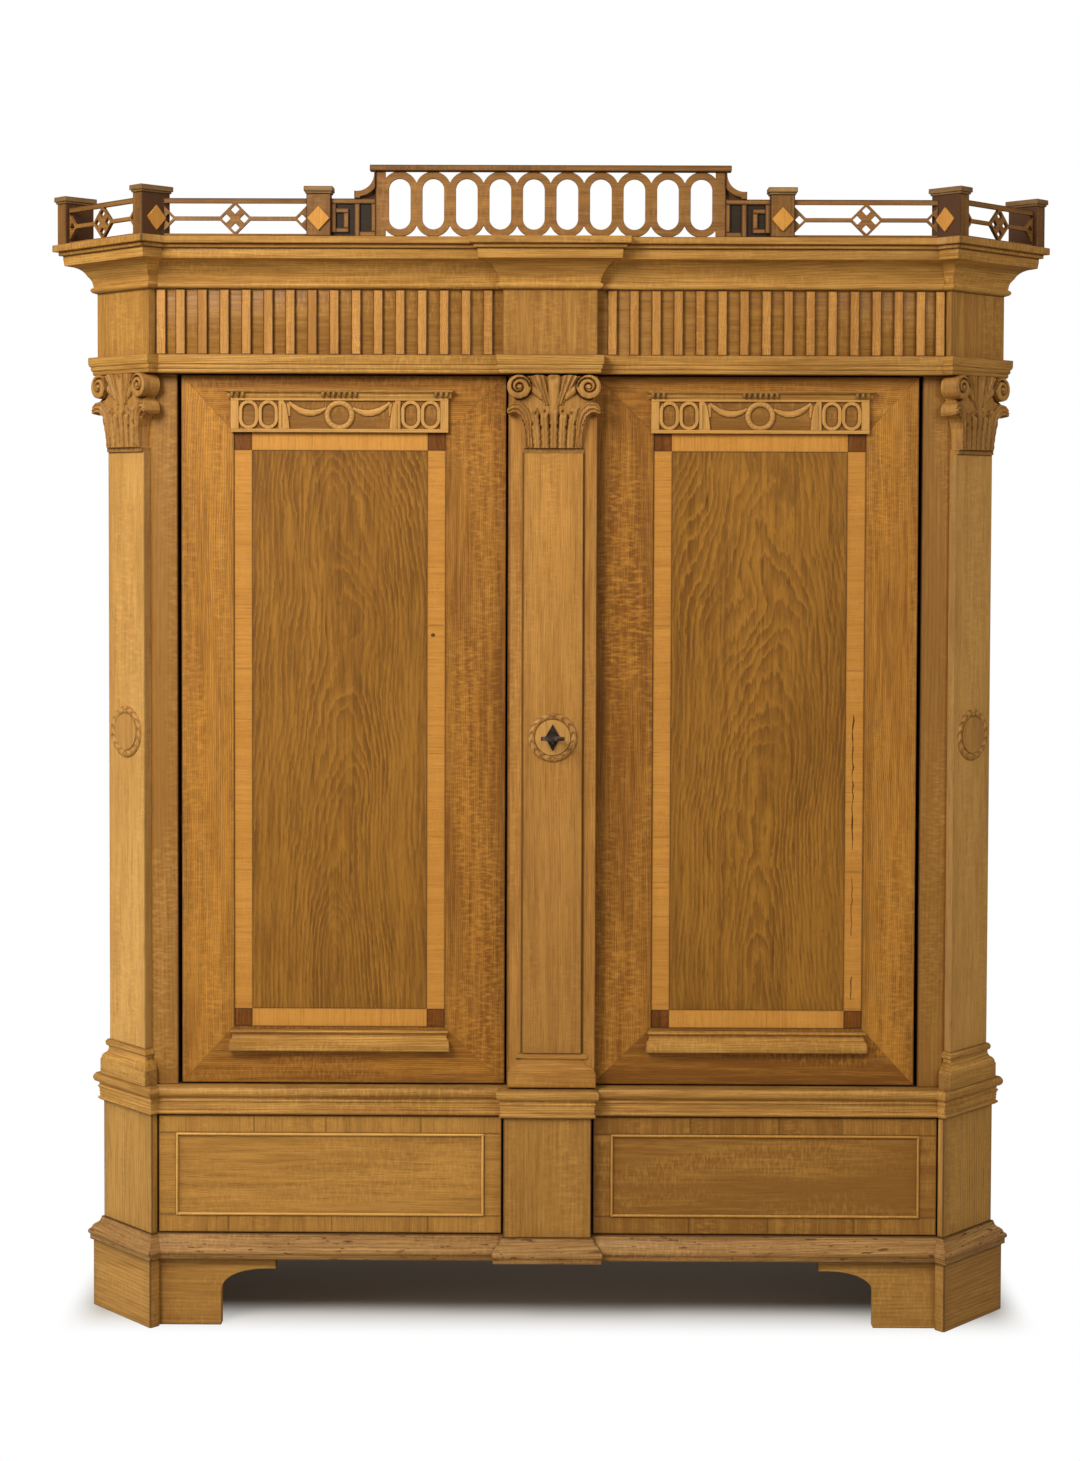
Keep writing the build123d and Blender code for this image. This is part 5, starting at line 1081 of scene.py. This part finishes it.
medallions = Timber("corner_wreaths")
put = {"place": cant_place, "sides": (1, -1), "soften": 0}
medallions.add(wreath((0, 0.2, 1208), 37, 53, 6.0, 15, 0.8, 180), (0, 0, 1), tone=0.2, **put)
medallions.add(disc((0, 0, 1208), 38, 4, 0.5), (0, 0, 1), tone=0.2, **put)
medallions.finish("carcass", "oak_carved", carved, "corner_medallions")
key_ring = Timber("keyhole_ring")
key_ring.add(wreath((8, -7.8, 1206), 35.5, 50, 5.8, 15, 0.8, 180), (0, 0, 1), soften=0, tone=0.1)
key_ring.add(disc((8, -8, 1206), 36.4, 3.8, 0.5), (0, 0, 1), soften=0, tone=0.35)
key_ring.finish("right_door", "oak_carved", carved, "keyhole_wreath")

# Lock, key, bolts and pivots: forged iron gone nearly black, and a key worn bright where it is held.


def metal(name, bright, dull, gloss, wear):
    """Worn metal: a mottled colour, and a brighter skin where noise says that it has been rubbed."""
    finish = Finish(name)
    place = finish.node("TexCoord", output="Object")
    mottle = finish.noise(place, (160.0, 160.0, 160.0), 4.0, 0.6).step(0.35, 0.7)
    rubbed = finish.noise(place, (60.0, 60.0, 60.0), 3.0, 0.5, 4.0).step(0.5, 0.75) * wear
    mixed = finish.blend(mottle, colour(*dull), colour(*[c * 1.5 for c in dull]))
    finish.join(finish.shader.inputs["Base Color"], finish.blend(rubbed, mixed, colour(*bright)))
    finish.join(finish.shader.inputs["Roughness"], gloss + mottle * 0.2 - rubbed * 0.15)
    finish.join(finish.shader.inputs["Metallic"], 0.55 + rubbed * 0.4)
    bump = {"Strength": 0.3, "Distance": 0.0003, "Height": mottle}
    finish.join(finish.shader.inputs["Normal"], finish.node("Bump", None, bump))
    return finish.material


iron = metal("black_iron", (0.14, 0.1, 0.08), (0.022, 0.012, 0.009), 0.5, 0.4)
worn_steel = metal("worn_steel", (0.4, 0.3, 0.27), (0.05, 0.032, 0.027), 0.34, 0.8)
for node in ("escutcheon", "lock_case", "lock_bolt", "lock_keeper", "left_door_irons", "left_top_bolt", "left_bottom_bolt",
             "door_pivots", "key"):
    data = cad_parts[node].data
    data.materials.clear()
    data.materials.append(worn_steel if node == "key" else iron)

# The room: a white floor that the film burns out beyond the shadow of the cabinet, a white backdrop and
# two soft lamps, the stronger one high at the left front. The camera stands where the photograph was taken.
floor_mesh = bmesh.new()
bmesh.ops.create_grid(floor_mesh, x_segments=1, y_segments=1, size=60.0)
data = bpy.data.meshes.new("floor")
floor_mesh.to_mesh(data)
floor_mesh.free()
floor = bpy.data.objects.new("floor", data)
bpy.context.scene.collection.objects.link(floor)
floor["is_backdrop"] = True
white = Finish("white_floor")
white.shader.inputs["Base Color"].default_value = colour(0.5, 0.45, 0.36)
white.shader.inputs["Roughness"].default_value = 0.6
x, y, z = [white.node("SeparateXYZ", None, {0: white.node("TexCoord", output="Object")}, k) for k in range(3)]
beside = (white.node("Math", {"operation": "ABSOLUTE"}, {0: x}) - 0.93).step(-0.02, 0.08)
before = (-0.08 - y).step(0.0, 0.22)
behind = y.step(0.3, 0.5)
glow = white.node("Emission", None, {"Color": colour(1, 1, 1), "Strength": 1.0})
sunlit = (1 - beside) * (1 - before) * (1 - behind)
burnt = (1 - sunlit) * white.node("LightPath", output="Is Camera Ray")
lit = Number(white, white.shader.outputs[0])
mixed = white.node("MixShader", None, {0: burnt, 1: lit, 2: glow})
white.join(white.tree.nodes["Material Output"].inputs["Surface"], mixed)
data.materials.append(white.material)

world = bpy.data.worlds.new("studio")
bpy.context.scene.world = world
world.use_nodes = True
sky = Finish.__new__(Finish)
sky.tree = world.node_tree
sky.tree.nodes.clear()
ambient = sky.node("Background", None, {"Color": colour(1.0, 0.985, 0.96), "Strength": 0.27})
shown = sky.node("Background", None, {"Color": colour(1, 1, 1), "Strength": 1.0})
seen = sky.node("LightPath", output="Is Camera Ray")
mixed = sky.node("MixShader", None, {0: seen, 1: ambient, 2: shown})
output = sky.tree.nodes.new("ShaderNodeOutputWorld")
sky.tree.links.new(mixed.socket, output.inputs["Surface"])

for name, place, aim, power, tint, spread in (
    ("key_light", (-2.1, -2.7, 3.5), (0, 0, 1.2), 144.0, (1.0, 0.975, 0.94), math.pi),
    ("fill_light", (2.5, -2.9, 3.3), (0, 0, 1.2), 52.0, (1.0, 0.975, 0.94), math.pi),
    ("low_light", (-3.7, -1.5, 0.5), (-0.9, -0.2, 0.3), 4.6, (0.85, 0.94, 1.0), math.radians(50)),
):
    lamp = bpy.data.lights.new(name, "AREA")
    lamp.size, lamp.energy, lamp.color, lamp.spread = 1.6, power, tint, spread
    stand = bpy.data.objects.new(name, lamp)
    stand.location = place
    stand.rotation_euler = (Vector(aim) - Vector(place)).to_track_quat("-Z", "Y").to_euler()
    bpy.context.scene.collection.objects.link(stand)

photo_height, focal_length, horizon = 1461.0, 2305.0, 581.9
pitch, yaw, roll = 0.0330, 0.0052, 0.0034
camera = bpy.data.cameras.new("camera")
camera.sensor_width = 36.0
camera.lens = 36.0 * focal_length / photo_height
camera.shift_y = (horizon - photo_height / 2) / photo_height
eye = bpy.data.objects.new("camera", camera)
bpy.context.scene.collection.objects.link(eye)
eye.location = (0.0054, (-4646.0 - middle_y) / 1000, 1.673)
turn = Matrix.Rotation(yaw, 3, "Z") @ Matrix.Rotation(math.pi / 2 - pitch, 3, "X") @ Matrix.Rotation(roll, 3, "Z")
eye.rotation_euler = turn.to_euler()
bpy.context.scene.camera = eye
bpy.context.scene.view_settings.view_transform = "Standard"

low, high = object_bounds()
